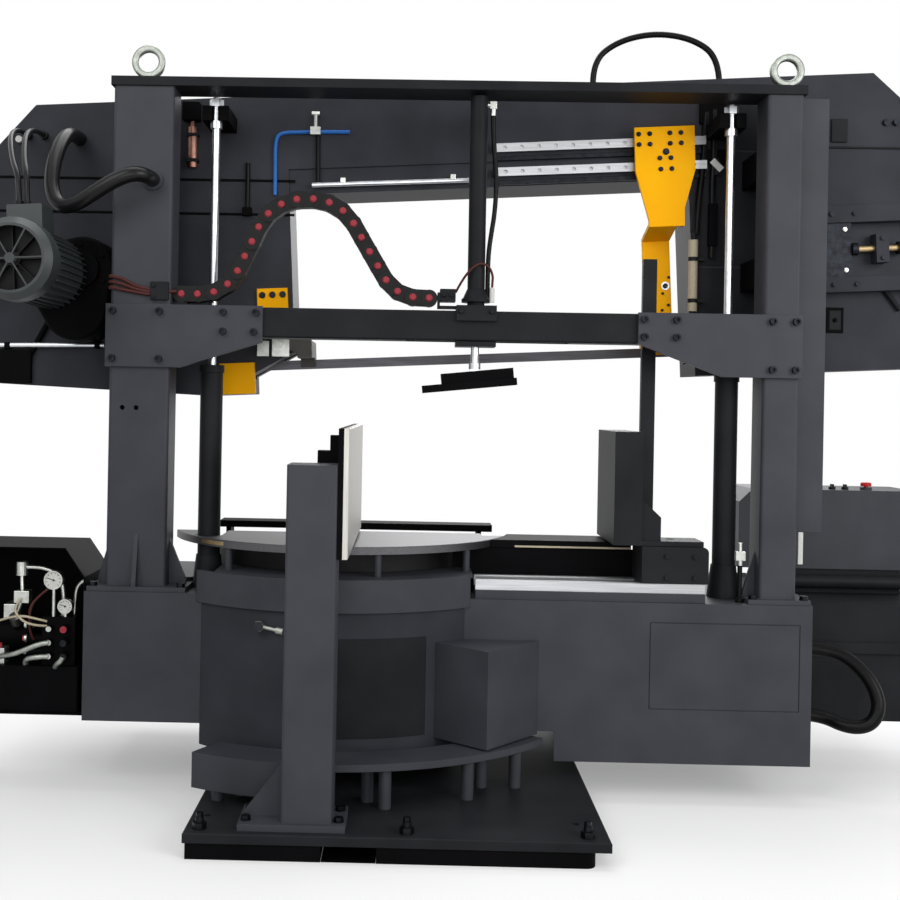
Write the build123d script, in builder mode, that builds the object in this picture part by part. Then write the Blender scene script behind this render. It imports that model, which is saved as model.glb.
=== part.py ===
from build123d import *
import os
from math import asin, atan2, cos, degrees, hypot, radians, sin, sqrt, tan

os.makedirs("parts", exist_ok=True)

# Double column mitre band saw. X runs along the blade, Y away from the jaw post, Z up.
# The swivel axis stands on the origin and the floor is at Z = 0.

# Base that stays on the floor
base_left = -376
base_right = 825
base_front = -1052
base_rear = 420
frame_height = 47
frame_bar = 80
frame_inset = 7
frame_right_inset = 41
plate_thickness = 28
plate_top = frame_height + plate_thickness
fork_left = 12
fork_width = 156

# Swivelling bed, its curved front and the track that carries its end
bed_left = -816
bed_right = 1556
bed_front = -488
bed_rear = 300
bed_top = 655
bed_bottom = 232
bed_low = 135
bed_wall = 12
drum_radius = 650
drum_bottom = 165
track_room = 70
track_width = 140
track_inner = drum_radius + track_room
track_outer = track_inner + track_width
track_top = 217
track_thickness = 22
track_start = -118
track_sweep = 81
ring_thickness = 12
ring_bottom = 629
ring_top = 733

# Table
table_top = 830
table_thickness = 25
table_radius = 600
slot_front = -110
leg_gap_front = -175
leg_gap_rear = 185

# Portal of two columns, a top plate and a crossbeam
column_front = -448
column_depth = 130
column_rear = column_front + column_depth
column_wall = 10
foot_thickness = 16
left_column_x = -757
left_column_width = 200
right_column_inset = 163
right_column_x = bed_right - right_column_inset
right_column_width = 120
portal_top = 2322
top_plate_thickness = 30
beam_bottom = 1497
beam_height = 100
beam_depth = 100
beam_wall = 8
beam_top = beam_bottom + beam_height
beam_rear = column_front + beam_depth
gusset_thickness = 15

# Saw bow, tilted about the depth axis; u runs along the blade and w square to it
bow_tilt = 3
bow_height = 1415
bow_front = -150
bow_rear = 90
bow_sheet = 12
bow_left_end = -1300
bow_right_end = 2140
bow_top = 968
bow_beam_low = 617
bow_leg_left = -170
bow_leg_right = 1240
bow_foot = -85
bow_corner = 240
wheel_radius = 340
wheel_left = -870
wheel_right = 1690
wheel_width = 40
blade_width = 34
blade_thickness = 1.1
wheel_height = blade_width / 2 + wheel_radius

# Fits
running_gap = 0.05
rolling_gap = 0.35
slide_gap = 0.5
screw_radius = 8
screw_clearance = 0.5

BOW = Plane(
    origin=(0, 0, bow_height),
    x_dir=(cos(radians(bow_tilt)), 0, sin(radians(bow_tilt))),
    z_dir=(0, -1, 0),
)


def slab(x0, x1, y0, y1, z0, z1, mode=Mode.ADD):
    """Box between two corners."""
    with BuildSketch(Plane.XY.offset(z0)) as face:
        with Locations(((x0 + x1) / 2, (y0 + y1) / 2)):
            Rectangle(x1 - x0, y1 - y0)
    extrude(face.sketch, amount=z1 - z0, mode=mode)


def upright(x, y, radius, z0, z1, mode=Mode.ADD):
    """Standing cylinder."""
    with BuildSketch(Plane.XY.offset(z0)) as face:
        with Locations((x, y)):
            Circle(radius)
    extrude(face.sketch, amount=z1 - z0, mode=mode)


def upright_hex(x, y, across, z0, z1, mode=Mode.ADD):
    """Standing hexagonal prism."""
    with BuildSketch(Plane.XY.offset(z0)) as face:
        with Locations((x, y)):
            RegularPolygon(across / 2, 6, major_radius=False)
    extrude(face.sketch, amount=z1 - z0, mode=mode)


def front_plate(points, y0, y1, mode=Mode.ADD):
    """Outline in X and Z, extruded in depth."""
    with BuildSketch(Plane.XZ.offset(-y1)) as face:
        Polygon(*points, align=None)
    extrude(face.sketch, amount=y1 - y0, mode=mode)


def side_plate(points, x0, x1, mode=Mode.ADD):
    """Outline in Y and Z, extruded across."""
    with BuildSketch(Plane.YZ.offset(x0)) as face:
        Polygon(*points, align=None)
    extrude(face.sketch, amount=x1 - x0, mode=mode)


def front_round(x, z, radius, y0, y1, mode=Mode.ADD):
    """Cylinder that points along the depth axis."""
    with BuildSketch(Plane.XZ.offset(-y1)) as face:
        with Locations((x, z)):
            Circle(radius)
    extrude(face.sketch, amount=y1 - y0, mode=mode)


def cross_round(y, z, radius, x0, x1, mode=Mode.ADD):
    """Cylinder that lies along X."""
    with BuildSketch(Plane.YZ.offset(x0)) as face:
        with Locations((y, z)):
            Circle(radius)
    extrude(face.sketch, amount=x1 - x0, mode=mode)


def sector(inner, outer, start, sweep, z0, z1, mode=Mode.ADD):
    """Part of a flat ring about the swivel axis."""
    with BuildSketch(Plane.XY.offset(z0)) as face:
        with BuildLine():
            far_arc = CenterArc((0, 0), outer, start, sweep)
            near_arc = CenterArc((0, 0), inner, start, sweep)
            Line(far_arc @ 0, near_arc @ 0)
            Line(far_arc @ 1, near_arc @ 1)
        make_face()
    extrude(face.sketch, amount=z1 - z0, mode=mode)


def disc_part(radius, x0, x1, y0, y1, z0, z1, mode=Mode.ADD):
    """Part of a disc about the swivel axis that lies inside a rectangle."""
    with BuildSketch(Plane.XY.offset(z0)) as face:
        Circle(radius)
        with Locations(((x0 + x1) / 2, (y0 + y1) / 2)):
            Rectangle(x1 - x0, y1 - y0, mode=Mode.INTERSECT)
    extrude(face.sketch, amount=z1 - z0, mode=mode)


def bow_plate(points, y0, y1, mode=Mode.ADD):
    """Outline in the bow's plane, extruded in depth."""
    with BuildSketch(BOW.offset(-y1)) as face:
        Polygon(*points, align=None)
    extrude(face.sketch, amount=y1 - y0, mode=mode)


def bow_block(u0, u1, w0, w1, y0, y1, mode=Mode.ADD):
    """Box square to the bow."""
    bow_plate([(u0, w0), (u1, w0), (u1, w1), (u0, w1)], y0, y1, mode)


def bow_round(u, w, radius, y0, y1, mode=Mode.ADD):
    """Cylinder square to the bow's plane."""
    with BuildSketch(BOW.offset(-y1)) as face:
        with Locations((u, w)):
            Circle(radius)
    extrude(face.sketch, amount=y1 - y0, mode=mode)


def bow_pin(u, y, radius, w0, w1, mode=Mode.ADD):
    """Cylinder that stands in the bow, square to the blade."""
    foot = BOW.from_local_coords((u, w0, -y))
    with BuildSketch(Plane(origin=foot, x_dir=BOW.x_dir, z_dir=BOW.y_dir)) as face:
        Circle(radius)
    extrude(face.sketch, amount=w1 - w0, mode=mode)


def bow_bar(w, y, radius, u0, u1, mode=Mode.ADD):
    """Cylinder along the bow."""
    end = BOW.from_local_coords((u0, w, -y))
    with BuildSketch(Plane(origin=end, x_dir=(0, 1, 0), z_dir=BOW.x_dir)) as face:
        Circle(radius)
    extrude(face.sketch, amount=u1 - u0, mode=mode)


def radial_plane(angle, z):
    """Plane through the swivel axis that faces outwards at an angle."""
    out = (cos(radians(angle)), sin(radians(angle)), 0)
    return Plane(origin=(0, 0, z), x_dir=(-out[1], out[0], 0), z_dir=out)


def radial_round(angle, z, radius, r0, r1, mode=Mode.ADD):
    """Cylinder that points outwards from the swivel axis."""
    with BuildSketch(radial_plane(angle, z).offset(r0)) as face:
        Circle(radius)
    extrude(face.sketch, amount=r1 - r0, mode=mode)


def front_screw(x, z, face_y, depth):
    """Socket head screw whose head stands on a front face."""
    head_radius = 1.5 * screw_radius
    head_height = 2 * screw_radius
    front_round(x, z, screw_radius, face_y, face_y + depth)
    front_round(x, z, head_radius, face_y - head_height, face_y)
    with BuildSketch(Plane.XZ.offset(head_height - face_y)) as socket:
        with Locations((x, z)):
            RegularPolygon(0.9 * screw_radius, 6)
    extrude(socket.sketch, amount=-screw_radius, mode=Mode.SUBTRACT)


def standing_bolt(x, y, face_z, depth):
    """Hexagon bolt with a washer whose head stands on a plate."""
    washer = 3
    head = 1.3 * screw_radius
    upright(x, y, screw_radius, face_z - depth, face_z)
    upright(x, y, 1.9 * screw_radius, face_z, face_z + washer)
    upright_hex(x, y, 3 * screw_radius, face_z + washer, face_z + washer + head)


def save(builder, name):
    """Label a finished piece and write it."""
    builder.part.label = name
    export_step(builder.part, f"parts/{name}.step")


# Base frame, plate and floor screws
frame_left = base_left + frame_inset
frame_right = base_right - frame_right_inset
frame_front = base_front + frame_inset
frame_rear = base_rear - frame_inset
frame_corner = 30
fork_right = fork_left + fork_width
anchor_radius = 11
anchor_front_inset = 152
anchor_rear_inset = 90
anchor_x = (frame_left + frame_bar / 2, frame_right - frame_bar / 2)
anchor_y = (base_front + anchor_front_inset, base_rear - anchor_rear_inset)
anchor_points = [(x, y) for x in anchor_x for y in anchor_y]
level_radius = 12
level_clearance = 1
level_inset = 42
level_mid_x = 253
level_x = (base_left + level_inset, level_mid_x, frame_right - level_inset / 2)
level_y = (base_front + level_inset, base_rear - level_inset)
level_points = [(x, y) for x in level_x for y in level_y]
level_nut_height = 19
level_nut_across = 36
level_rise = 46
level_head_height = 12
level_head_across = 19
level_top = plate_top + level_rise
level_shoulder = level_top - level_head_height

with BuildPart() as base_frame:
    slab(frame_left, frame_right, frame_front, frame_rear, 0, frame_height)
    slab(fork_left, fork_right, base_front, base_rear, 0, frame_height, Mode.SUBTRACT)
    pocket_front = frame_front + frame_bar
    pocket_rear = frame_rear - frame_bar
    left_pocket = (frame_left + frame_bar, fork_left - frame_bar)
    right_pocket = (fork_right + frame_bar, frame_right - frame_bar)
    for x0, x1 in (left_pocket, right_pocket):
        slab(x0, x1, pocket_front, pocket_rear, 0, frame_height, Mode.SUBTRACT)
    fillet(base_frame.edges().filter_by(Axis.Z).group_by(Axis.X)[-1], frame_corner)
    for x, y in anchor_points:
        upright(x, y, anchor_radius, 0, frame_height, Mode.SUBTRACT)
    for x, y in level_points:
        upright(x, y, level_radius + level_clearance, 0, frame_height, Mode.SUBTRACT)
save(base_frame, "base_frame")

# Post that carries the fixed jaw, measured here because the plate is drilled for it
post_left = -105
post_size = 145
post_right = post_left + post_size
post_track_gap = 6
post_rear = -track_outer - post_track_gap
post_front = post_rear - post_size
post_top = 1108
post_wall = 8
post_foot = 20
post_foot_margin_left = 121
post_foot_margin_right = 39
post_foot_margin = 16
post_foot_left = post_left - post_foot_margin_left
post_foot_right = post_right + post_foot_margin_right
post_foot_front = post_front - post_foot_margin
post_foot_rear = post_rear + post_foot_margin
bolt_inset = 20
post_bolt_x = (post_foot_left + bolt_inset, post_foot_right - bolt_inset)
post_bolt_y = (post_foot_front + 2 * bolt_inset, post_foot_rear - 2 * bolt_inset)
post_bolt_points = [(x, y) for x in post_bolt_x for y in post_bolt_y]

plate_bevel = 3
with BuildPart() as base_plate:
    slab(base_left, base_right, base_front, base_rear, frame_height, plate_top)
    chamfer(base_plate.edges().group_by(Axis.Z)[-1], plate_bevel)
    for x, y in anchor_points:
        upright(x, y, anchor_radius, frame_height, plate_top, Mode.SUBTRACT)
    for x, y in level_points:
        upright(x, y, level_radius + level_clearance, frame_height, plate_top, Mode.SUBTRACT)
save(base_plate, "base_plate")

# Levelling screws with their lock nuts, and the bolts of the jaw post
with BuildPart() as base_bolts:
    for x, y in level_points:
        upright(x, y, level_radius, 0, level_shoulder)
        upright_hex(x, y, level_nut_across, plate_top, plate_top + level_nut_height)
        upright_hex(x, y, level_head_across, level_shoulder, level_top)
    for x, y in post_bolt_points:
        standing_bolt(x, y, plate_top + post_foot, post_foot)
save(base_bolts, "base_bolts")

# Hub on the plate with the fixed race of the slewing bearing
hub_radius = 430
hub_bore = 270
hub_top = 150
hub_round = 6
race_split = 353
race_top = 200
with BuildPart() as base_hub:
    upright(0, 0, hub_radius, plate_top, race_top)
    upright(0, 0, race_split, hub_top, race_top, Mode.SUBTRACT)
    upright(0, 0, hub_bore, plate_top, hub_top, Mode.SUBTRACT)
    top_circles = base_hub.edges().filter_by(GeomType.CIRCLE).group_by(Axis.Z)[-1]
    fillet(top_circles.sort_by(Edge.length)[-1], hub_round)
save(base_hub, "base_hub")

# Turning race under the bed
race_lift = 10
with BuildPart() as slewing_ring:
    upright(0, 0, race_split - rolling_gap, hub_top + race_lift, bed_bottom)
    upright(0, 0, hub_bore + race_lift, hub_top + race_lift, bed_bottom, Mode.SUBTRACT)
save(slewing_ring, "slewing_ring")

# Curved track on its posts, with a skirt below its left end
track_bottom = track_top - track_thickness
track_post_radius = 19
track_post_inset = 35
track_post_circle = track_outer - track_post_inset
track_inner_circle = track_inner + track_post_inset
skirt_thickness = 12
skirt_bottom = 110
skirt_sweep = 26
track_post_rows = ((track_post_circle, (-44, -58, -77, -96, -113)), (track_inner_circle, (-50, -80, -110)))
with BuildPart() as swivel_track:
    sector(track_inner, track_outer, track_start, track_sweep, track_bottom, track_top)
    sector(track_outer - skirt_thickness, track_outer, track_start, skirt_sweep, skirt_bottom, track_bottom)
    for circle, angles in track_post_rows:
        for angle in angles:
            x = circle * cos(radians(angle))
            y = circle * sin(radians(angle))
            upright(x, y, track_post_radius, plate_top, track_bottom)
save(swivel_track, "swivel_track")

# Jaw post with its foot and gusset
gusset_rise = 157
gusset_sheet = 15
gusset_lip = 6
with BuildPart() as vise_post:
    foot_top = plate_top + post_foot
    slab(post_foot_left, post_foot_right, post_foot_front, post_foot_rear, plate_top, foot_top)
    slab(post_left, post_right, post_front, post_rear, foot_top, post_top)
    fillet(vise_post.edges().filter_by(Axis.Z).group_by(Edge.length)[-1], post_wall)
    slab(
        post_left + post_wall,
        post_right - post_wall,
        post_front + post_wall,
        post_rear - post_wall,
        foot_top,
        post_top - post_wall,
        Mode.SUBTRACT,
    )
    gusset_mid = (post_front + post_rear) / 2
    gusset_tip = post_foot_left + gusset_lip
    front_plate(
        [
            (post_left, foot_top),
            (post_left, foot_top + gusset_rise),
            (gusset_tip, foot_top + gusset_lip),
            (gusset_tip, foot_top),
        ],
        gusset_mid - gusset_sheet / 2,
        gusset_mid + gusset_sheet / 2,
    )
    for x, y in post_bolt_points:
        upright(x, y, screw_radius + screw_clearance, plate_top, foot_top, Mode.SUBTRACT)
save(vise_post, "vise_post")

# Fixed jaw: a plate beside the post, held along its back by an arm
jaw_sheet = 16
jaw_clearance = 12
jaw_bottom = table_top + jaw_clearance
jaw_top = 1213
jaw_front_inset = 5
jaw_front = post_front + jaw_front_inset
jaw_reach = 10
jaw_rear = slot_front + jaw_reach
arm_width = 100
arm_bottom = 880
arm_top = 1030
arm_wall = 8
arm_end = 30
block_width = 72
block_step = 35
block_low = 113
block_high = 159
block_depth = 60
with BuildPart() as fixed_jaw:
    slab(post_right, post_right + jaw_sheet, jaw_front, jaw_rear, jaw_bottom, jaw_top)
    arm_left = post_right - arm_width
    slab(arm_left, post_right, post_rear, jaw_rear - arm_end, arm_bottom, arm_top)
    slab(
        arm_left + arm_wall,
        post_right - arm_wall,
        post_rear + arm_wall,
        jaw_rear - arm_end - arm_wall,
        arm_bottom + arm_wall,
        arm_top - arm_wall,
        Mode.SUBTRACT,
    )
    step_z = arm_top + block_low
    for y in (post_rear + arm_end, jaw_rear - 2 * arm_end - block_depth):
        slab(post_right - block_width, post_right, y, y + block_depth, arm_top, step_z)
        slab(post_right - block_step, post_right, y, y + block_depth, step_z, arm_top + block_high)
save(fixed_jaw, "fixed_jaw")

jaw_face = post_right + 2 * jaw_sheet
liner_bevel = 2
with BuildPart() as jaw_liner:
    slab(post_right + jaw_sheet, jaw_face, jaw_front, jaw_rear, jaw_bottom, jaw_top)
    chamfer(jaw_liner.faces().sort_by(Axis.X)[-1].edges(), liner_bevel)
save(jaw_liner, "jaw_liner")

# Long hollow bed, deeper at the right beyond the reach of the track, with pads for the vise rails
swing_gap = 15
swing_radius = track_outer + swing_gap
low_start = 600
with BuildPart() as low_end:
    slab(low_start, bed_right, bed_front, bed_rear, bed_low, bed_bottom)
    upright(0, 0, swing_radius, bed_low, bed_bottom, Mode.SUBTRACT)
with BuildPart() as low_core:
    slab(
        low_start,
        bed_right - bed_wall,
        bed_front + bed_wall,
        bed_rear - bed_wall,
        bed_low + bed_wall,
        bed_bottom,
    )
    upright(0, 0, swing_radius + bed_wall, bed_low + bed_wall, bed_bottom, Mode.SUBTRACT)
vise_rail_left = 465
vise_rail_right = 1215
vise_rail_width = 30
vise_rail_height = 35
vise_rail_bevel = 4
vise_rail_y = (-440, -340)
way_pad = 27
way_pad_margin = 7
way_top = bed_top + way_pad
cover_left = 1034
cover_inset = 42
cover_right = bed_right - cover_inset
cover_bottom = 313
cover_top = 590
seam = 3
with BuildPart() as bed_box:
    slab(bed_left, bed_right, bed_front, bed_rear, bed_bottom, bed_top)
    add(low_end.part)
    add(low_core.part, mode=Mode.SUBTRACT)
    slab(
        bed_left + bed_wall,
        bed_right - bed_wall,
        bed_front + bed_wall,
        bed_rear - bed_wall,
        bed_bottom + bed_wall,
        bed_top - bed_wall,
        Mode.SUBTRACT,
    )
    for x0, x1, z0, z1 in (
        (cover_left, cover_right, cover_top, cover_top + seam),
        (cover_left, cover_right, cover_bottom - seam, cover_bottom),
        (cover_left - seam, cover_left, cover_bottom - seam, cover_top + seam),
        (cover_right, cover_right + seam, cover_bottom - seam, cover_top + seam),
    ):
        slab(x0, x1, bed_front, bed_front + seam, z0, z1, Mode.SUBTRACT)
    for y in vise_rail_y:
        half = vise_rail_width / 2 + way_pad_margin
        slab(vise_rail_left, vise_rail_right, y - half, y + half, bed_top, way_top)
save(bed_box, "bed_box")

# Curved front of the bed with the axle of the support roller and the lock pin
roller_margin = 12.11
roller_angle = -degrees(asin((roller_margin - bed_front) / drum_radius))
roller_inset = 25
roller_circle = track_inner + roller_inset
roller_radius = 40
roller_width = 40
axle_radius = 12
axle_root = 3
axle_end = 2
axle_head = 18
axle_head_length = 8
roller_z = track_top + roller_radius + rolling_gap
lever_angle = -109.3
lever_z = 580
lock_pin_radius = 8
lock_collar = 15
lock_collar_length = 11
lever_thickness = 14
lock_head_length = 5
with BuildPart() as swivel_drum:
    disc_part(drum_radius, -drum_radius, drum_radius, -drum_radius, bed_front, drum_bottom, bed_top)
    disc_part(
        drum_radius - bed_wall,
        -drum_radius,
        drum_radius,
        -drum_radius,
        bed_front,
        drum_bottom + bed_wall,
        bed_top - bed_wall,
        Mode.SUBTRACT,
    )
    roller_outer = roller_circle + roller_width / 2
    radial_round(roller_angle, roller_z, axle_radius, drum_radius - axle_root, roller_outer + axle_end)
    head_start = roller_outer + slide_gap
    radial_round(roller_angle, roller_z, axle_head, head_start, head_start + axle_head_length)
    lever_inner = drum_radius + lock_collar_length
    lever_outer = lever_inner + lever_thickness + 2 * slide_gap
    radial_round(lever_angle, lever_z, lock_collar, drum_radius - bed_wall / 2, lever_inner)
    radial_round(lever_angle, lever_z, lock_pin_radius, lever_inner, lever_outer)
    radial_round(lever_angle, lever_z, lock_collar, lever_outer, lever_outer + lock_head_length)
save(swivel_drum, "swivel_drum")

# Roller that runs on the track and carries the swinging end of the bed
roller_bevel = 2
with BuildPart() as support_roller:
    roller_inner = roller_circle - roller_width / 2
    roller_bore = axle_radius + running_gap
    radial_round(roller_angle, roller_z, roller_radius, roller_inner, roller_outer)
    chamfer(support_roller.edges().filter_by(GeomType.CIRCLE), roller_bevel)
    radial_round(roller_angle, roller_z, roller_bore, roller_inner, roller_outer, Mode.SUBTRACT)
save(support_roller, "support_roller")

# Swivel lock lever with its grip
lever_length = 84
lever_rod = 6
lever_drop = 8
lever_hub = 16
grip_radius = 11
grip_length = 24
with BuildPart() as lock_lever:
    hub_start = lever_inner + slide_gap
    lever_plane = radial_plane(lever_angle, lever_z).offset(hub_start + lever_thickness / 2)
    radial_round(lever_angle, lever_z, lever_hub, hub_start, hub_start + lever_thickness)
    run = cos(radians(lever_drop))
    fall = sin(radians(lever_drop))
    rod_dir = lever_plane.x_dir * run - lever_plane.y_dir * fall
    with BuildSketch(Plane(origin=lever_plane.origin, z_dir=rod_dir)) as rod_face:
        Circle(lever_rod)
    extrude(rod_face.sketch, amount=lever_length)
    grip_start = lever_plane.origin + rod_dir * (lever_length - grip_length)
    with BuildSketch(Plane(origin=grip_start, z_dir=rod_dir)) as grip_face:
        Circle(grip_radius)
    extrude(grip_face.sketch, amount=grip_length)
    lever_bore = lock_pin_radius + running_gap
    radial_round(lever_angle, lever_z, lever_bore, hub_start, hub_start + lever_thickness, Mode.SUBTRACT)
save(lock_lever, "lock_lever")

# Cover of the swivel drive, set on the corner of the curved front
drum_corner = sqrt(drum_radius**2 - bed_front**2)
drive_lap = 176
drive_reach = 243
drive_left = (drum_corner - drive_lap, bed_front)
drive_right = (drum_corner + drive_reach, bed_front)
drive_tip_turn = 4.1
drive_tip_angle = roller_angle - drive_tip_turn
drive_tip_reach = 106
drive_tip_circle = roller_circle + drive_tip_reach
drive_tip_x = drive_tip_circle * cos(radians(drive_tip_angle))
drive_tip_y = drive_tip_circle * sin(radians(drive_tip_angle))
drive_tip = (drive_tip_x, drive_tip_y)
drive_clearance = 5
drive_bottom = track_top + drive_clearance
drive_top = 526
drive_wall = 4
with BuildPart() as drive_cover:
    with BuildSketch(Plane.XY.offset(drive_bottom)) as drive_foot:
        Polygon(drive_left, drive_tip, drive_right, align=None)
        Circle(drum_radius, mode=Mode.SUBTRACT)
    extrude(drive_foot.sketch, amount=drive_top - drive_bottom)
    with BuildSketch(Plane.XY.offset(drive_bottom)) as drive_hollow:
        Polygon(drive_left, drive_tip, drive_right, align=None)
        offset(amount=-drive_wall, kind=Kind.INTERSECTION, mode=Mode.REPLACE)
        Circle(drum_radius + drive_wall, mode=Mode.SUBTRACT)
    extrude(drive_hollow.sketch, amount=drive_top - drive_bottom - drive_wall, mode=Mode.SUBTRACT)
    hole_end = drum_radius + 3 * drive_wall
    radial_round(roller_angle, roller_z, axle_head, drum_radius - bed_wall, hole_end, Mode.SUBTRACT)
save(drive_cover, "drive_cover")

# Ring that carries the round table, with its deck, webs, posts and a round wall behind them
deck_thickness = 12
deck_left = -385
deck_right = 455
deck_rear = -300
web_x = (-370, 0, 420)
web_inset = 8
web_front = bed_front + web_inset
post_rod = 12
table_post_inset = 18
table_post_circle = table_radius - table_post_inset
table_post_angles = (-126.4, -100.4, -75.5, -41.4)
wall_radius = 480
wall_sheet = 10
wall_rear = -190
table_bottom = table_top - table_thickness
with BuildPart() as table_ring:
    outer = drum_radius + ring_thickness
    disc_part(outer, -outer, outer, -outer, bed_front, ring_bottom, ring_top)
    disc_part(drum_radius, -outer, outer, -outer, bed_front, ring_bottom, ring_top, Mode.SUBTRACT)
    disc_part(wall_radius, -outer, outer, -outer, wall_rear, bed_top, table_bottom)
    wall_inner = wall_radius - wall_sheet
    disc_part(wall_inner, -outer, outer, -outer, wall_rear, bed_top, table_bottom, Mode.SUBTRACT)
    deck_bottom = ring_top - deck_thickness
    disc_part(drum_radius, deck_left, deck_right, -drum_radius, deck_rear, deck_bottom, ring_top)
    for x in web_x:
        half = deck_thickness / 2
        slab(x - half, x + half, web_front, deck_rear, bed_top, deck_bottom)
    for angle in table_post_angles:
        x = table_post_circle * cos(radians(angle))
        y = table_post_circle * sin(radians(angle))
        upright(x, y, post_rod, ring_top, table_bottom)
save(table_ring, "table_ring")

# Front half of the round table, cut out from behind around the left lift cylinder
lift_left = -437
lift_column_gap = 85
lift_x = (lift_left, right_column_x - lift_column_gap)
lift_y = -320
lift_radius = 38
lift_room = 8
work_left = -95
work_right = 500
table_bevel = 2
with BuildPart() as table_front:
    rim = table_radius
    disc_part(rim, -rim, rim, -rim, leg_gap_front, table_bottom, table_top)
    slab(work_left, work_right, leg_gap_front, slot_front, table_bottom, table_top)
    chamfer(table_front.edges().group_by(Axis.Z)[-1], table_bevel)
    notch = lift_radius + lift_room
    upright(lift_x[0], lift_y, notch, table_bottom, table_top, Mode.SUBTRACT)
    slab(lift_x[0] - notch, lift_x[0] + notch, lift_y, leg_gap_front, table_bottom, table_top, Mode.SUBTRACT)
save(table_front, "table_front")

# Side and rear rests of the table on their legs, with a panel in front of the side legs
rest_right = 1000
rest_front = -300
rest_thickness = 26
rest_leg = 18
rest_gap = 2
rest_panel = 10
rest_panel_left = 395
rear_left = -480
rear_right = 560
rear_depth = 105
rear_leg_x = (-440, 40, 520)
with BuildPart() as table_rests:
    with BuildSketch(Plane.XY.offset(table_top - rest_thickness)) as rest_face:
        with Locations(((work_right + rest_right) / 2, (rest_front + slot_front) / 2)):
            Rectangle(rest_right - work_right, slot_front - rest_front)
        Circle(table_radius + rest_gap, mode=Mode.SUBTRACT)
    extrude(rest_face.sketch, amount=rest_thickness)
    rest_bottom = table_top - rest_thickness
    for x in (table_radius + 3 * rest_leg, rest_right - 2 * rest_leg):
        slab(x, x + rest_leg, rest_front + rest_leg, slot_front - rest_leg, bed_top, rest_bottom)
    panel_rear = rest_front + rest_leg
    panel_right = rest_right - rest_leg
    slab(rest_panel_left, panel_right, panel_rear - rest_panel, panel_rear, bed_top, rest_bottom)
    slab(rear_left, rear_right, leg_gap_rear, leg_gap_rear + rear_depth, table_bottom, table_top)
    for x in rear_leg_x:
        slab(x - rest_leg, x, leg_gap_rear + rest_leg, leg_gap_rear + rear_depth, bed_top, table_bottom)
save(table_rests, "table_rests")

# Left column with foot, gussets and the gland of the loom hose
column_base = bed_top + foot_thickness
column_corner = 12
foot_front_inset = 8
foot_rear_margin = 28
foot_left_margin = 53
foot_inner_margin = 72
foot_right_margin = 43
foot_end_inset = 4
foot_front = bed_front + foot_front_inset
foot_rear = column_rear + foot_rear_margin
left_column_end = left_column_x + left_column_width
right_column_end = right_column_x + right_column_width
left_foot = (left_column_x - foot_left_margin, left_column_end + foot_inner_margin)
right_foot = (right_column_x - foot_right_margin, bed_right - foot_end_inset)
column_gusset = 150
rib_rise = 170
rib_sheet = 15
rib_inset = 2
gland_x = -622
gland_z = 2010
gland_radius = 34
gland_depth = 12
loom_radius = 25
foot_bolt_inset = 18
foot_bolt_y = (foot_front + foot_bolt_inset, foot_rear - foot_bolt_inset)
spare_hole_x = (-711, -665)
spare_hole_z = 1258


def foot_bolts(foot):
    """Places of the four bolts of a column foot."""
    foot_bolt_x = (foot[0] + foot_bolt_inset, foot[1] - foot_bolt_inset)
    return [(x, y) for x in foot_bolt_x for y in foot_bolt_y]


def column(x0, x1, foot):
    """Hollow column on a foot plate."""
    slab(foot[0], foot[1], foot_front, foot_rear, bed_top, column_base)
    for x, y in foot_bolts(foot):
        upright(x, y, screw_radius + screw_clearance, bed_top, column_base, Mode.SUBTRACT)
    slab(x0, x1, column_front, column_rear, column_base, portal_top)


def column_web(edge, tip):
    """Triangular stiffener between a column's side and its foot."""
    front_plate(
        [
            (edge, column_base),
            (edge, column_base + column_gusset),
            (tip, column_base + rib_sheet),
            (tip, column_base),
        ],
        column_mid - rib_sheet / 2,
        column_mid + rib_sheet / 2,
    )


def column_core(x0, x1):
    """Take the inside out of a column."""
    slab(
        x0 + column_wall,
        x1 - column_wall,
        column_front + column_wall,
        column_rear - column_wall,
        column_base,
        portal_top,
        Mode.SUBTRACT,
    )


column_mid = (column_front + column_rear) / 2
with BuildPart() as left_column:
    column(left_column_x, left_column_end, left_foot)
    fillet(left_column.edges().filter_by(Axis.Z).group_by(Edge.length)[-1], column_corner)
    column_core(left_column_x, left_column_end)
    column_web(left_column_x, left_foot[0] + rib_sheet)
    column_web(left_column_end, left_foot[1] - rib_sheet)
    rib_x = (left_column_x + left_column_end) / 2
    rib_tip = foot_front + rib_inset
    side_plate(
        [
            (column_front, column_base),
            (column_front, column_base + rib_rise),
            (rib_tip, column_base + rib_sheet),
            (rib_tip, column_base),
        ],
        rib_x - rib_sheet / 2,
        rib_x + rib_sheet / 2,
    )
    for x in spare_hole_x:
        front_round(x, spare_hole_z, screw_radius, column_front, column_front + column_wall, Mode.SUBTRACT)
    front_round(gland_x, gland_z, gland_radius, column_front - gland_depth, column_front)
save(left_column, "left_column")

# Right column with the guide strip beside it
strip_width = 97
strip_front = -400
strip_rear = -330
strip_bottom = 886
with BuildPart() as right_column:
    column(right_column_x, right_column_end, right_foot)
    fillet(right_column.edges().filter_by(Axis.Z).group_by(Edge.length)[-1], column_corner)
    column_core(right_column_x, right_column_end)
    column_web(right_column_x, right_foot[0] + gusset_lip)
    strip_end = right_column_end + strip_width
    slab(right_column_end, strip_end, strip_front, strip_rear, strip_bottom, portal_top)
save(right_column, "right_column")

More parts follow.
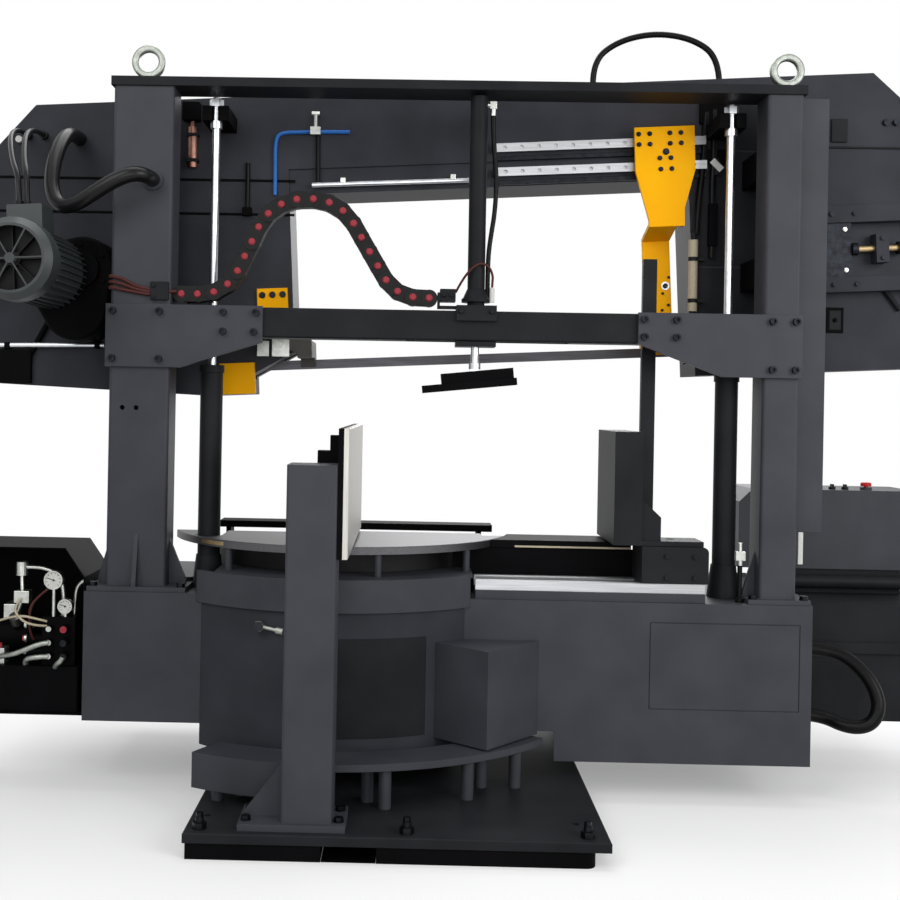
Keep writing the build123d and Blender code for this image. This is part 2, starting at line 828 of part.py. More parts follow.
# Rails behind the columns on which the bow rises and falls
rail_width = 35
rail_depth = 28
rail_notch = 5
rail_notch_near = 9
rail_notch_far = 19
rail_bottom = 700
rail_top = 2310
left_rail_x = (left_column_x + left_column_end) / 2
right_rail_x = (right_column_x + right_column_end) / 2
with BuildPart() as column_rails:
    for x in (left_rail_x, right_rail_x):
        half = rail_width / 2
        slab(x - half, x + half, column_rear, column_rear + rail_depth, rail_bottom, rail_top)
        near = column_rear + rail_notch_near
        far = column_rear + rail_notch_far
        for x0 in (x - half, x + half - rail_notch):
            slab(x0, x0 + rail_notch, near, far, rail_bottom, rail_top, Mode.SUBTRACT)
save(column_rails, "column_rails")

# Top plate and its two lifting eyes
plate_overhang = 8
eye_y = column_mid
eye_shift = 20
eye_x = (left_rail_x, right_rail_x + eye_shift)
eye_bore = 33
eye_outer = 57
eye_width = 26
eye_round = 9
eye_collar = 34
eye_collar_height = 12
eye_sink = 4
eye_shank = 15
portal_upper = portal_top + top_plate_thickness
with BuildPart() as top_plate:
    slab(
        left_column_x - plate_overhang,
        right_column_end + plate_overhang,
        column_front - plate_overhang,
        column_rear + plate_overhang,
        portal_top,
        portal_upper,
    )
    for x in eye_x:
        upright(x, eye_y, eye_shank, portal_top, portal_upper, Mode.SUBTRACT)
save(top_plate, "top_plate")

eye_z = portal_upper + eye_collar_height + eye_outer - eye_sink
with BuildPart() as eye_bolts:
    for x in eye_x:
        front_round(x, eye_z, eye_outer, eye_y - eye_width / 2, eye_y + eye_width / 2)
        front_round(x, eye_z, eye_bore, eye_y - eye_width / 2, eye_y + eye_width / 2, Mode.SUBTRACT)
    fillet(eye_bolts.edges().filter_by(GeomType.CIRCLE), eye_round)
    for x in eye_x:
        upright(x, eye_y, eye_collar, portal_upper, portal_upper + eye_collar_height)
        upright(x, eye_y, eye_shank, portal_top, portal_upper)
save(eye_bolts, "eye_bolts")

# Gusset plates that join the crossbeam to the columns
gusset_lap = 3
gusset_drop = 104
gusset_top = beam_top + gusset_lap
gusset_low = beam_bottom - gusset_drop
gusset_overhang = 11
gusset_overhang_right = 4
gusset_drop_left = 17
gusset_drop_right = 25
gusset_nose = 63
gusset_toe_left = 37
gusset_toe_right = 135
left_gusset_length = 307
right_gusset_length = 412
left_gusset_end = left_column_end + left_gusset_length
right_gusset_end = right_column_x - right_gusset_length
gusset_front = column_front - gusset_thickness
screw_top_inset = 20
screw_mid_rise = 17
screw_mid_rise_right = 23
screw_low_rise = 27
screw_top = beam_top - screw_top_inset
screw_mid = beam_bottom + screw_mid_rise
screw_mid_right = beam_bottom + screw_mid_rise_right
screw_low = gusset_low + screw_low_rise
left_post_inset = (13, 33)
left_beam_inset = (130, 22)
left_nose_inset = 28
right_beam_inset = (20, 125)
right_post_inset = (25, 20)
left_post_screws = (left_column_x + left_post_inset[0], left_column_end - left_post_inset[1])
left_beam_screws = (left_gusset_end - left_beam_inset[0], left_gusset_end - left_beam_inset[1])
right_beam_screws = (right_gusset_end + right_beam_inset[0], right_gusset_end + right_beam_inset[1])
right_post_screws = (right_column_x + right_post_inset[0], right_column_end - right_post_inset[1])
left_screws = [(x, screw_top) for x in left_post_screws + left_beam_screws]
left_screws += [(x, screw_mid) for x in (left_beam_screws[0], left_gusset_end - left_nose_inset)]
left_screws += [(x, screw_low) for x in left_post_screws]
right_screws = [(x, screw_top) for x in right_beam_screws + right_post_screws]
right_screws += [(x, screw_mid_right) for x in right_beam_screws]
right_screws += [(x, screw_low) for x in right_post_screws]
with BuildPart() as gusset_plates:
    left_edge = left_column_x - gusset_overhang
    right_edge = right_column_end + gusset_overhang_right
    front_plate(
        [
            (left_edge, gusset_low),
            (left_edge, gusset_top),
            (left_gusset_end, gusset_top),
            (left_gusset_end, beam_bottom - gusset_drop_left),
            (left_column_end + gusset_toe_left, gusset_low),
        ],
        gusset_front,
        column_front,
    )
    front_plate(
        [
            (right_edge, gusset_low),
            (right_edge, gusset_top),
            (right_gusset_end, gusset_top),
            (right_gusset_end, beam_bottom),
            (right_gusset_end + gusset_nose, beam_bottom - gusset_drop_right),
            (right_column_x - gusset_toe_right, gusset_low),
        ],
        gusset_front,
        column_front,
    )
    for x, z in left_screws + right_screws:
        front_round(x, z, screw_radius + screw_clearance, gusset_front, column_front, Mode.SUBTRACT)
save(gusset_plates, "gusset_plates")

# Screws of the gussets and bolts of the column feet
with BuildPart() as frame_screws:
    for x, z in left_screws + right_screws:
        front_screw(x, z, gusset_front, gusset_thickness)
    for x, y in foot_bolts(left_foot) + foot_bolts(right_foot):
        standing_bolt(x, y, column_base, foot_thickness)
save(frame_screws, "frame_screws")

# Crossbeam, slotted above and below for the overhead clamp
clamp_x = 452
clamp_y = (column_front + beam_rear) / 2
clamp_left_travel = 170
clamp_right_travel = 250
clamp_neck = 27
clamp_neck_gap = 3
slot_half = clamp_neck + clamp_neck_gap
chain_seat = 14
chain_seat_length = 50
slot_left = clamp_x - clamp_left_travel - 2 * slot_half
slot_right = clamp_x + clamp_right_travel + 2 * slot_half
with BuildPart() as crossbeam:
    slab(left_column_end, right_column_x, column_front, beam_rear, beam_bottom, beam_top)
    fillet(crossbeam.edges().filter_by(Axis.X), beam_wall)
    slab(
        left_column_end,
        right_column_x,
        column_front + beam_wall,
        beam_rear - beam_wall,
        beam_bottom + beam_wall,
        beam_top - beam_wall,
        Mode.SUBTRACT,
    )
    slot_near = clamp_y - slot_half
    slot_far = clamp_y + slot_half
    slab(slot_left, slot_right, slot_near, slot_far, beam_bottom, beam_top, Mode.SUBTRACT)
    slab(
        left_column_end,
        left_column_end + chain_seat_length,
        clamp_y - clamp_neck,
        clamp_y + clamp_neck,
        beam_top,
        beam_top + chain_seat,
    )
save(crossbeam, "crossbeam")

# Overhead clamp: saddle on the beam, cylinder, rod and tilting pad
saddle_half = 66
saddle_gap = 1
saddle_sheet = 16
saddle_front = column_front - saddle_gap - saddle_sheet
saddle_rear_inset = 2
saddle_rear = beam_rear - saddle_rear_inset
saddle_lip = 34
clamp_rod_radius = 14
clamp_tube = 29
clamp_bore = 23
clamp_cap = 14
clamp_head_room = 10
clamp_top = portal_top - clamp_head_room
chain_bracket = 62
chain_bracket_sheet = 8
chain_bracket_rise = 44
saddle_top = beam_top + saddle_gap + saddle_sheet
saddle_bottom = beam_bottom - saddle_gap - saddle_sheet
with BuildPart() as clamp_saddle:
    saddle_left = clamp_x - saddle_half
    saddle_right = clamp_x + saddle_half
    saddle_rest = beam_top + saddle_gap
    slab(saddle_left, saddle_right, saddle_front, saddle_rear, saddle_rest, saddle_top)
    apron_rear = column_front - saddle_gap
    slab(saddle_left, saddle_right, saddle_front, apron_rear, beam_top - saddle_lip, saddle_rest)
    slab(saddle_left, saddle_right, column_front, saddle_rear, saddle_bottom, beam_bottom - saddle_gap)
    upright(clamp_x, clamp_y, clamp_neck, saddle_bottom, saddle_top)
    upright(clamp_x, clamp_y, clamp_tube, saddle_top, clamp_top)
    upright(clamp_x, clamp_y, clamp_bore, saddle_top + clamp_cap, clamp_top - clamp_cap, Mode.SUBTRACT)
    rod_bore = clamp_rod_radius + running_gap
    upright(clamp_x, clamp_y, rod_bore, saddle_bottom, saddle_top + clamp_cap, Mode.SUBTRACT)
    bracket_end = saddle_left - chain_bracket
    bracket_stop = bracket_end + chain_bracket_sheet
    near = clamp_y - clamp_neck
    far = clamp_y + clamp_neck
    slab(bracket_end, saddle_left, near, far, saddle_top - chain_bracket_sheet, saddle_top)
    slab(bracket_end, bracket_stop, near, far, saddle_top, saddle_top + chain_bracket_rise)
save(clamp_saddle, "clamp_saddle")

pad_pin_drop = 109
pad_pin_z = beam_bottom - pad_pin_drop
pad_tilt = 6
pad_pin_radius = 8
tongue_half = 10
tongue_width = 28
rod_collar = 20
rod_collar_drop = 91
rod_collar_bottom = beam_bottom - rod_collar_drop
with BuildPart() as clamp_rod:
    piston_top = clamp_top - 3 * clamp_cap
    upright(clamp_x, clamp_y, clamp_rod_radius, rod_collar_bottom, piston_top)
    upright(clamp_x, clamp_y, clamp_bore - rolling_gap, piston_top - 2 * clamp_cap, piston_top)
    upright(clamp_x, clamp_y, rod_collar, rod_collar_bottom, rod_collar_bottom + rod_collar)
    slab(
        clamp_x - tongue_width / 2,
        clamp_x + tongue_width / 2,
        clamp_y - tongue_half,
        clamp_y + tongue_half,
        pad_pin_z - tongue_width / 2,
        rod_collar_bottom,
    )
    pin_bore = pad_pin_radius + running_gap
    front_round(clamp_x, pad_pin_z, pin_bore, clamp_y - tongue_half, clamp_y + tongue_half, Mode.SUBTRACT)
save(clamp_rod, "clamp_rod")

PAD = Plane(
    origin=(clamp_x, clamp_y, pad_pin_z),
    x_dir=(cos(radians(pad_tilt)), 0, sin(radians(pad_tilt))),
    z_dir=(0, -1, 0),
)
pad_left = -178
pad_right = 135
pad_width = 96
pad_plate_top = -22
pad_plate_bottom = -46
pad_block_left = -112
pad_block_right = 128
cheek_height = 12
cheek_gap = 2
cheek_sheet = 14


def pad_block(u0, u1, w0, w1, half0, half1):
    """Box square to the tilted pad, between two depths from its middle."""
    with BuildSketch(PAD.offset(half0)) as face:
        Polygon((u0, w0), (u1, w0), (u1, w1), (u0, w1), align=None)
    extrude(face.sketch, amount=half1 - half0)


with BuildPart() as clamp_pad:
    half = pad_width / 2
    pad_block(pad_left, pad_right, pad_plate_bottom, pad_plate_top, -half, half)
    cheek_inner = tongue_half + cheek_gap
    cheek_outer = cheek_inner + cheek_sheet
    for near, far in ((-cheek_outer, -cheek_inner), (cheek_inner, cheek_outer)):
        pad_block(pad_block_left, pad_block_right, pad_plate_top, cheek_height, near, far)
    front_round(clamp_x, pad_pin_z, pad_pin_radius, clamp_y - cheek_outer, clamp_y + cheek_outer)
save(clamp_pad, "clamp_pad")

# Energy chain of linked plates that follows the overhead clamp
chain_height = 56
chain_half = 24
chain_start = left_column_end + chain_height / 2 + saddle_gap
chain_end = bracket_end - chain_height / 2
chain_level = beam_top + chain_height / 2 + chain_seat
chain_pitch = 54
chain_rise = 322
chain_low_bend = 135
chain_top_bend = 165
chain_crown = chain_level + chain_rise
chain_route = (
    (chain_start, chain_level),
    (-379, chain_level),
    (-229, chain_crown),
    (-6, chain_crown),
    (185, chain_level),
    (chain_end, chain_level),
)
chain_bends = (chain_low_bend, chain_top_bend, chain_top_bend, chain_low_bend)
chain_path = FilletPolyline(*chain_route, radius=chain_bends)
chain_links = round(chain_path.length / chain_pitch)
chain_pins = [chain_path @ (number / chain_links) for number in range(chain_links + 1)]
chain_y = clamp_y
with BuildPart() as energy_chain:
    for first, second in zip(chain_pins[:-1], chain_pins[1:]):
        with BuildSketch(Plane.XZ.offset(chain_half - chain_y)) as link:
            with Locations(((first.X + second.X) / 2, (first.Y + second.Y) / 2)):
                SlotCenterToCenter(
                    hypot(second.X - first.X, second.Y - first.Y),
                    chain_height,
                    rotation=degrees(atan2(second.Y - first.Y, second.X - first.X)),
                )
        extrude(link.sketch, amount=-2 * chain_half)
save(energy_chain, "energy_chain")

# Lift cylinders: barrels on the bed, rods below the bow
lift_bore = 30
lift_rod = 14
lift_socket = 40
lift_floor = bed_top + 45
lift_top = 1407
lift_cap = 26
lift_cap_lip = 4
with BuildPart() as lift_barrels:
    for x in lift_x:
        upright(x, lift_y, lift_socket, bed_top, lift_floor)
        upright(x, lift_y, lift_radius, lift_floor, lift_top)
        upright(x, lift_y, lift_radius + lift_cap_lip, lift_top - lift_cap, lift_top)
        upright(x, lift_y, lift_bore, lift_floor, lift_top - lift_cap, Mode.SUBTRACT)
        upright(x, lift_y, lift_rod + running_gap, lift_top - lift_cap, lift_top, Mode.SUBTRACT)
save(lift_barrels, "lift_barrels")

lift_stroke = 635
piston_length = 30
piston_rest = 12
rod_bottom = lift_floor + lift_stroke + piston_rest
rod_head_room = 6
rod_top = portal_top - rod_head_room
lug_bottom = 2235
lug_top = 2285
lug_half = 45
lug_overhang = 24
lug_front = lift_y - lug_overhang
nut_height = 24
nut_across = 42
rod_collar_radius = 21
with BuildPart() as lift_rods:
    for x in lift_x:
        upright(x, lift_y, lift_rod, rod_bottom, rod_top)
        upright(x, lift_y, lift_bore - rolling_gap, rod_bottom, rod_bottom + piston_length)
        upright_hex(x, lift_y, nut_across, lug_top, lug_top + nut_height)
        upright(x, lift_y, rod_collar_radius, lug_bottom - nut_height, lug_bottom)
save(lift_rods, "lift_rods")

# Forked lugs and guide shoes that hold the bow to the rods and rails
shoe_half = 60
shoe_height = 100
shoe_room = 5
shoe_bottoms = (1700, 2060)
with BuildPart() as bow_shoes:
    for x in lift_x:
        slab(x - lug_half, x + lug_half, lug_front, bow_front, lug_bottom, lug_top)
        upright(x, lift_y, lift_rod, lug_bottom, lug_top, Mode.SUBTRACT)
        slab(x - lift_rod, x + lift_rod, lug_front, lift_y, lug_bottom, lug_top, Mode.SUBTRACT)
    for x in (left_rail_x, right_rail_x):
        for z in shoe_bottoms:
            half = rail_width / 2 + slide_gap
            rail_face = column_rear + rail_depth + slide_gap
            shoe_top = z + shoe_height
            slab(x - shoe_half, x + shoe_half, column_rear + shoe_room, bow_front, z, shoe_top)
            slab(x - half, x + half, column_rear, rail_face, z, shoe_top, Mode.SUBTRACT)
save(bow_shoes, "bow_shoes")

# Moving vise: rails on the bed, carriage with a keel between them, mast and jaw
carriage_left = 1003
carriage_right = 1220
carriage_front = -480
carriage_rear = -310
carriage_top = 837
carriage_round = 18
carriage_bottom = way_top + vise_rail_height + slide_gap
carriage_screw_left = 81
carriage_screw_right = 44
carriage_screw_low = 20
carriage_screw_high = 30
carriage_screw_x = (carriage_left + carriage_screw_left, carriage_right - carriage_screw_right)
carriage_screw_z = (carriage_bottom + carriage_screw_low, carriage_top - carriage_screw_high)
keel_room = 5
with BuildPart() as vise_rails:
    for y in vise_rail_y:
        half = vise_rail_width / 2
        slab(vise_rail_left, vise_rail_right, y - half, y + half, way_top, way_top + vise_rail_height)
    chamfer(vise_rails.edges().filter_by(Axis.X).group_by(Axis.Z)[-1], vise_rail_bevel)
save(vise_rails, "vise_rails")

jaw_pin_x = 1110
jaw_pin_y = -395
jaw_pin_radius = 14
jaw_pin_rise = 15
mast_left = 1018
mast_width = 46
mast_front = -338
mast_rear = carriage_rear
mast_top = 1790
mast_groove = 20
mast_groove_depth = 15
with BuildPart() as vise_carriage:
    slab(carriage_left, carriage_right, carriage_front, carriage_rear, carriage_bottom, carriage_top)
    upper_edges = vise_carriage.edges().filter_by(Axis.Y).group_by(Axis.Z)[-1]
    fillet(upper_edges.sort_by(Axis.X)[-1], carriage_round)
    half = vise_rail_width / 2 + slide_gap
    keel_front = vise_rail_y[0] + half
    keel_rear = vise_rail_y[1] - half
    slab(carriage_left, carriage_right, keel_front, keel_rear, way_top + keel_room, carriage_bottom)
    upright(jaw_pin_x, jaw_pin_y, jaw_pin_radius, carriage_top, carriage_top + jaw_pin_rise)
    for x in carriage_screw_x:
        for z in carriage_screw_z:
            front_round(x, z, screw_radius, carriage_front - screw_radius, carriage_front)
save(vise_carriage, "vise_carriage")

mast_mid = mast_left + mast_width / 2
with BuildPart() as guide_mast:
    slab(mast_left, mast_left + mast_width, mast_front, mast_rear, carriage_top, mast_top)
    half = mast_groove / 2
    groove_front = mast_rear - mast_groove_depth
    slab(mast_mid - half, mast_mid + half, groove_front, mast_rear, carriage_top, mast_top, Mode.SUBTRACT)
save(guide_mast, "guide_mast")

moving_face = 912
moving_back = 1004
moving_front = -470
moving_clearance = 5
moving_rear = slot_front - moving_clearance
moving_top = 1209
moving_foot = 16
moving_lift = 1
moving_foot_right = 1205
moving_foot_rear = -345
moving_liner = 18
rib_top = 990
rib_drop = 60
rib_foot = 1068
channel_count = 4
channel_pitch = 70
channel_sill = 60
channel_head = 30
with BuildPart() as moving_jaw:
    foot_z = carriage_top + moving_lift
    slab(moving_face, moving_back, moving_front, moving_rear, foot_z, moving_top)
    channel_front = moving_face + moving_liner
    channel_low = foot_z + channel_sill
    channel_high = moving_top - channel_head
    for number in range(1, channel_count + 1):
        y = moving_front + number * channel_pitch
        slab(channel_front, moving_back, y, y + channel_pitch / 2, channel_low, channel_high, Mode.SUBTRACT)
    slab(moving_back, moving_foot_right, moving_front, moving_foot_rear, foot_z, foot_z + moving_foot)
    front_plate(
        [
            (moving_back, foot_z + moving_foot),
            (moving_back, rib_top),
            (rib_foot, rib_top - rib_drop),
            (rib_foot, foot_z + moving_foot),
        ],
        moving_front + rib_sheet,
        moving_front + 2 * rib_sheet,
    )
    upright(jaw_pin_x, jaw_pin_y, jaw_pin_radius + running_gap, foot_z, foot_z + moving_foot, Mode.SUBTRACT)
save(moving_jaw, "moving_jaw")

# Saw bow: a hollow tilted frame around the two wheels and the open cut
left_foot_rise = 75
right_foot_rise = 10
leg_corner_top = 60
leg_corner_low = -20
leg_corner_depth = 160
leg_foot_depth = 330
bow_outline = [
    (bow_left_end, bow_foot + left_foot_rise),
    (bow_left_end, bow_top - bow_corner),
    (bow_left_end + bow_corner, bow_top),
    (bow_right_end - bow_corner, bow_top),
    (bow_right_end, bow_top - bow_corner),
    (bow_right_end, bow_foot + right_foot_rise),
    (bow_leg_right, bow_foot + right_foot_rise),
    (bow_leg_right, bow_beam_low),
    (bow_leg_left, bow_beam_low),
    (bow_leg_left, leg_corner_top),
    (bow_leg_left - leg_corner_depth, leg_corner_low),
    (bow_leg_left - leg_corner_depth, bow_foot),
    (bow_leg_left - leg_foot_depth, bow_foot),
]
door_rim = 22
hinge_radius = 7
hinge_pin = 4
hinge_length = 60
hinge_w = (120, 560)
hinge_stand = 5
hinge_lap = 10
hinge_y = bow_rear + hinge_stand
left_hinge_u = bow_left_end - hinge_radius
right_hinge_u = bow_right_end + hinge_radius
shaft_radius = 28
shaft_hole = 60
idler_axle = 30
tension_travel = 30
ledge_depth = 8
ledge_top = 705
ledge_right = 560
bar_low = (198, 250)
bar_high = (440, 500)
bar_left = 1545
bar_right = 2110
bar_depth = 46
band_half = 30
block_left_u = 1868
block_right_u = 1912
block_w = (296, 396)
tension_block_depth = 56
screw_drop = 10
screw_stand = 30
screw_w = wheel_height - screw_drop
screw_y = bow_front - screw_stand
tension_screw = 11
band_window = 10


def shrunk(points, amount):
    """Outline set inwards by an amount, as a flat face in the bow's plane."""
    with BuildSketch(BOW) as face:
        Polygon(*points, align=None)
        offset(amount=-amount, kind=Kind.INTERSECTION, mode=Mode.REPLACE)
    return face.sketch


def extruded(face, y0, y1, mode):
    """Face from the bow's plane, extruded between two depths."""
    extrude(face.moved(Location((0, y1, 0))), amount=y1 - y0, dir=(0, -1, 0), mode=mode)


with BuildPart() as bow_frame:
    bow_plate(bow_outline, bow_front, bow_rear)
    extruded(shrunk(bow_outline, bow_sheet), bow_front + bow_sheet, bow_rear - bow_sheet, Mode.SUBTRACT)
    inner = shrunk(bow_outline, door_rim)
    extruded(inner, bow_rear - bow_sheet, bow_rear, Mode.SUBTRACT)
    bow_block(
        bow_leg_left - door_rim,
        bow_leg_right + door_rim,
        bow_beam_low,
        bow_top,
        bow_rear - bow_sheet,
        bow_rear,
    )
    ledge_face = bow_front + ledge_depth
    bow_block(bow_leg_left, ledge_right, bow_beam_low, ledge_top, bow_front, ledge_face, Mode.SUBTRACT)
    bow_round(wheel_left, wheel_height, shaft_hole, bow_front, bow_front + bow_sheet, Mode.SUBTRACT)
    with BuildSketch(BOW.offset(-bow_front - bow_sheet)) as idler_slot:
        with Locations((wheel_right - tension_travel / 2, wheel_height)):
            SlotOverall(2 * shaft_hole + tension_travel, 2 * shaft_hole)
    extrude(idler_slot.sketch, amount=bow_sheet, mode=Mode.SUBTRACT)
    band_top = blade_width + band_half
    left_window = (bow_leg_left - leg_corner_depth - band_window, bow_leg_left + band_window)
    right_window = (bow_leg_right - band_window, bow_leg_right + bow_sheet + band_window)
    for u0, u1 in (left_window, right_window):
        bow_block(u0, u1, -band_half, band_top, -band_half, band_half, Mode.SUBTRACT)
    for low, high in (bar_low, bar_high):
        bow_block(bar_left, bar_right, low, high, bow_front - bar_depth, bow_front)
    block_face = bow_front - tension_block_depth
    bow_block(block_left_u, block_right_u, block_w[0], block_w[1], block_face, bow_front)
    bow_bar(screw_w, screw_y, tension_screw + slide_gap, block_left_u, block_right_u, Mode.SUBTRACT)
    block_mid = (block_left_u + block_right_u) / 2
    for w in (block_w[0] + 2 * screw_radius, block_w[1] - 2 * screw_radius):
        bow_round(block_mid, w, screw_radius, block_face - screw_radius, block_face)
    for u, side in ((left_hinge_u, 1), (right_hinge_u, -1)):
        u0, u1 = sorted((u, u + side * hinge_radius))
        for w in hinge_w:
            bow_pin(u, hinge_y, hinge_pin, w - hinge_length, w + 2 * hinge_length)
            bow_pin(u, hinge_y, hinge_radius, w, w + hinge_length)
            bow_block(u0, u1, w, w + hinge_length, bow_rear - hinge_lap, hinge_y)
save(bow_frame, "bow_frame")

# Doors over the wheels at the back of the bow
door_sheet = 8
door_gap = 0.5
door_lap = 12
door_face = bow_rear + door_gap
door_shoulder = 5
door_edge_gap = 8
door_leg_low = 80
handle_reach = 30
handle_half = 75
handle_post_half = 60
handle_inset = 60
handle_post = 6
handle_bar = 7
knuckle_reach = 21


def door(points, hinge_u, side, handle_u):
    """Wheel door with hinge knuckles and a bow handle."""
    bow_plate(points, door_face, door_face + door_sheet)
    for w in hinge_w:
        for w0 in (w - hinge_length + door_gap, w + hinge_length + door_gap):
            w1 = w0 + hinge_length - 2 * door_gap
            bow_pin(hinge_u, hinge_y, hinge_radius, w0, w1)
            u0, u1 = sorted((hinge_u, hinge_u + side * knuckle_reach))
            bow_block(u0, u1, w0, w1, door_face, hinge_y + hinge_radius / 2)
            bow_pin(hinge_u, hinge_y, hinge_pin + running_gap, w0, w1, Mode.SUBTRACT)
    outer = door_face + door_sheet
    grip = outer + handle_reach
    for w in (wheel_height - handle_post_half, wheel_height + handle_post_half):
        bow_round(handle_u, w, handle_post, outer, grip)
    bow_pin(handle_u, grip, handle_bar, wheel_height - handle_half, wheel_height + handle_half)


door_left_in = bow_leg_left - leg_corner_depth - door_lap
door_left_edge = bow_leg_left - door_edge_gap
door_right_in = bow_leg_right + door_edge_gap
door_top = bow_top - door_lap
with BuildPart() as door_left:
    door(
        [
            (bow_left_end + door_lap, bow_foot + left_foot_rise + door_lap),
            (bow_left_end + door_lap, bow_top - bow_corner - door_shoulder),
            (bow_left_end + bow_corner + door_shoulder, door_top),
            (door_left_edge, door_top),
            (door_left_edge, door_leg_low),
            (door_left_in, -door_edge_gap),
            (door_left_in, bow_foot + door_lap),
            (bow_leg_left - leg_foot_depth, bow_foot + door_lap),
        ],
        left_hinge_u,
        1,
        bow_leg_left - handle_inset,
    )
save(door_left, "door_left")

with BuildPart() as door_right:
    door(
        [
            (bow_right_end - door_lap, bow_foot + right_foot_rise + door_lap),
            (bow_right_end - door_lap, bow_top - bow_corner - door_shoulder),
            (bow_right_end - bow_corner - door_shoulder, door_top),
            (door_right_in, door_top),
            (door_right_in, bow_foot + right_foot_rise + door_lap),
        ],
        right_hinge_u,
        -1,
        door_right_in + handle_inset,
    )
save(door_right, "door_right")

# Band wheels
rim_depth = 45
web_half = 8
hub_radius_wheel = 70
hub_half = 30
hole_circle = 195
hole_radius = 58
hole_count = 6


def wheel(u):
    """Band wheel with a rim, a holed web and a hub."""
    rolling = wheel_radius - blade_thickness / 2 - rolling_gap
    half = wheel_width / 2
    bow_round(u, wheel_height, rolling, -half, half)
    for y0, y1 in ((-half, -web_half), (web_half, half)):
        bow_round(u, wheel_height, rolling - rim_depth, y0, y1, Mode.SUBTRACT)
    bow_round(u, wheel_height, hub_radius_wheel, -hub_half, hub_half)
    for number in range(hole_count):
        angle = radians(360 / hole_count * number)
        bow_round(
            u + hole_circle * cos(angle),
            wheel_height + hole_circle * sin(angle),
            hole_radius,
            -web_half,
            web_half,
            Mode.SUBTRACT,
        )


gear_rear = bow_front
gear_front = -330
gear_bore_end = -300
shaft_end_gap = 10
with BuildPart() as drive_wheel:
    wheel(wheel_left)
    bow_round(wheel_left, wheel_height, shaft_radius, gear_bore_end + shaft_end_gap, -hub_half)
save(drive_wheel, "drive_wheel")

with BuildPart() as idler_wheel:
    wheel(wheel_right)
    bow_round(wheel_right, wheel_height, idler_axle + running_gap, -hub_half, hub_half, Mode.SUBTRACT)
save(idler_wheel, "idler_wheel")

# Saw band: flat on the wheels, turned upright between the guides
twist_left = -330
twist_right = 1262
twist_steps = 6
flat_run = 80


def band_plane(u):
    """Plane across the lower run of the band."""
    middle = BOW.from_local_coords((u, blade_width / 2, 0))
    return Plane(origin=middle, x_dir=(0, -1, 0), z_dir=BOW.x_dir)


with BuildPart() as saw_band:
    span = wheel_right - wheel_left
    with BuildSketch(BOW.offset(-blade_width / 2)) as loop:
        with Locations(((wheel_left + wheel_right) / 2, wheel_height)):
            SlotCenterToCenter(span, 2 * wheel_radius + blade_thickness)
            SlotCenterToCenter(span, 2 * wheel_radius - blade_thickness, mode=Mode.SUBTRACT)
        with Locations(((wheel_left + wheel_right) / 2, wheel_height - wheel_radius)):
            Rectangle(span, wheel_radius, mode=Mode.SUBTRACT)
    extrude(loop.sketch, amount=blade_width)
    for u in (wheel_left, wheel_right - flat_run):
        with BuildSketch(band_plane(u)) as flat:
            Rectangle(blade_width, blade_thickness)
        extrude(flat.sketch, amount=flat_run)
    for start, end, first, last in (
        (wheel_left + flat_run, twist_left, 0, 90),
        (twist_right, wheel_right - flat_run, 90, 180),
    ):
        sections = []
        for step in range(twist_steps + 1):
            share = step / twist_steps
            with BuildSketch(band_plane(start + (end - start) * share)) as section:
                Rectangle(blade_width, blade_thickness, rotation=first + (last - first) * share)
            sections.append(section.sketch)
        loft(sections)
    with BuildSketch(band_plane(twist_left)) as upright_run:
        Rectangle(blade_thickness, blade_width)
    extrude(upright_run.sketch, amount=twist_right - twist_left)
save(saw_band, "saw_band")

# Gearbox and motor of the drive wheel
gear_radius = 112
gear_round = 16
gear_low = (wheel_left - 30, wheel_height - 130)
gear_cap = 64
gear_cap_depth = 24
gear_screw_circle = 84
gear_screw_count = 6
gear_screw_height = 10
motor_u = -959
motor_w = 341
motor_radius = 114
motor_front = -800
motor_rear = -400
fan_cover_rear = -705
fan_cover_radius = 127
fan_cover_wall = 5
fan_cover_bevel = 20
adapter_radius = 105
fin_count = 36
fin_height = 8
fin_width = 4
fin_root = 2
fin_inset = 20
grille_inner = 16
grille_outer = 98
spoke_width = 5
spoke_count = 3
fan_seat = fan_cover_rear - fan_cover_wall
fan_shaft = 12
fan_shaft_length = 60
box_length = 120
box_width = 112
box_height = 74
box_sink = 20
box_inset = 60
with BuildPart() as gearbox:
    with BuildSketch(BOW.offset(-gear_rear)) as gear_face:
        with Locations((wheel_left, wheel_height), gear_low, (motor_u, motor_w)):
            Circle(gear_radius)
        make_hull()
    extrude(gear_face.sketch, amount=gear_rear - gear_front)
    fillet(gearbox.edges().group_by(Axis.Y)[0], gear_round)
    bow_round(motor_u, motor_w, adapter_radius, motor_rear, gear_front)
    bow_round(wheel_left, wheel_height, gear_cap, gear_front - gear_cap_depth, gear_front)
    for number in range(gear_screw_count):
        angle = radians(360 / gear_screw_count * (number + 0.5))
        u = wheel_left + gear_screw_circle * cos(angle)
        w = wheel_height + gear_screw_circle * sin(angle)
        bow_round(u, w, screw_radius, gear_front - gear_screw_height, gear_front)
    bow_round(wheel_left, wheel_height, shaft_radius + running_gap, gear_bore_end, gear_rear, Mode.SUBTRACT)
save(gearbox, "gearbox")

grille = motor_front + fan_cover_wall
fan_room = fan_cover_radius - fan_cover_wall
with BuildPart() as fan_space:
    bow_round(motor_u, motor_w, fan_room, grille, fan_seat)
    chamfer(fan_space.edges().group_by(Axis.Y)[0], fan_cover_bevel)

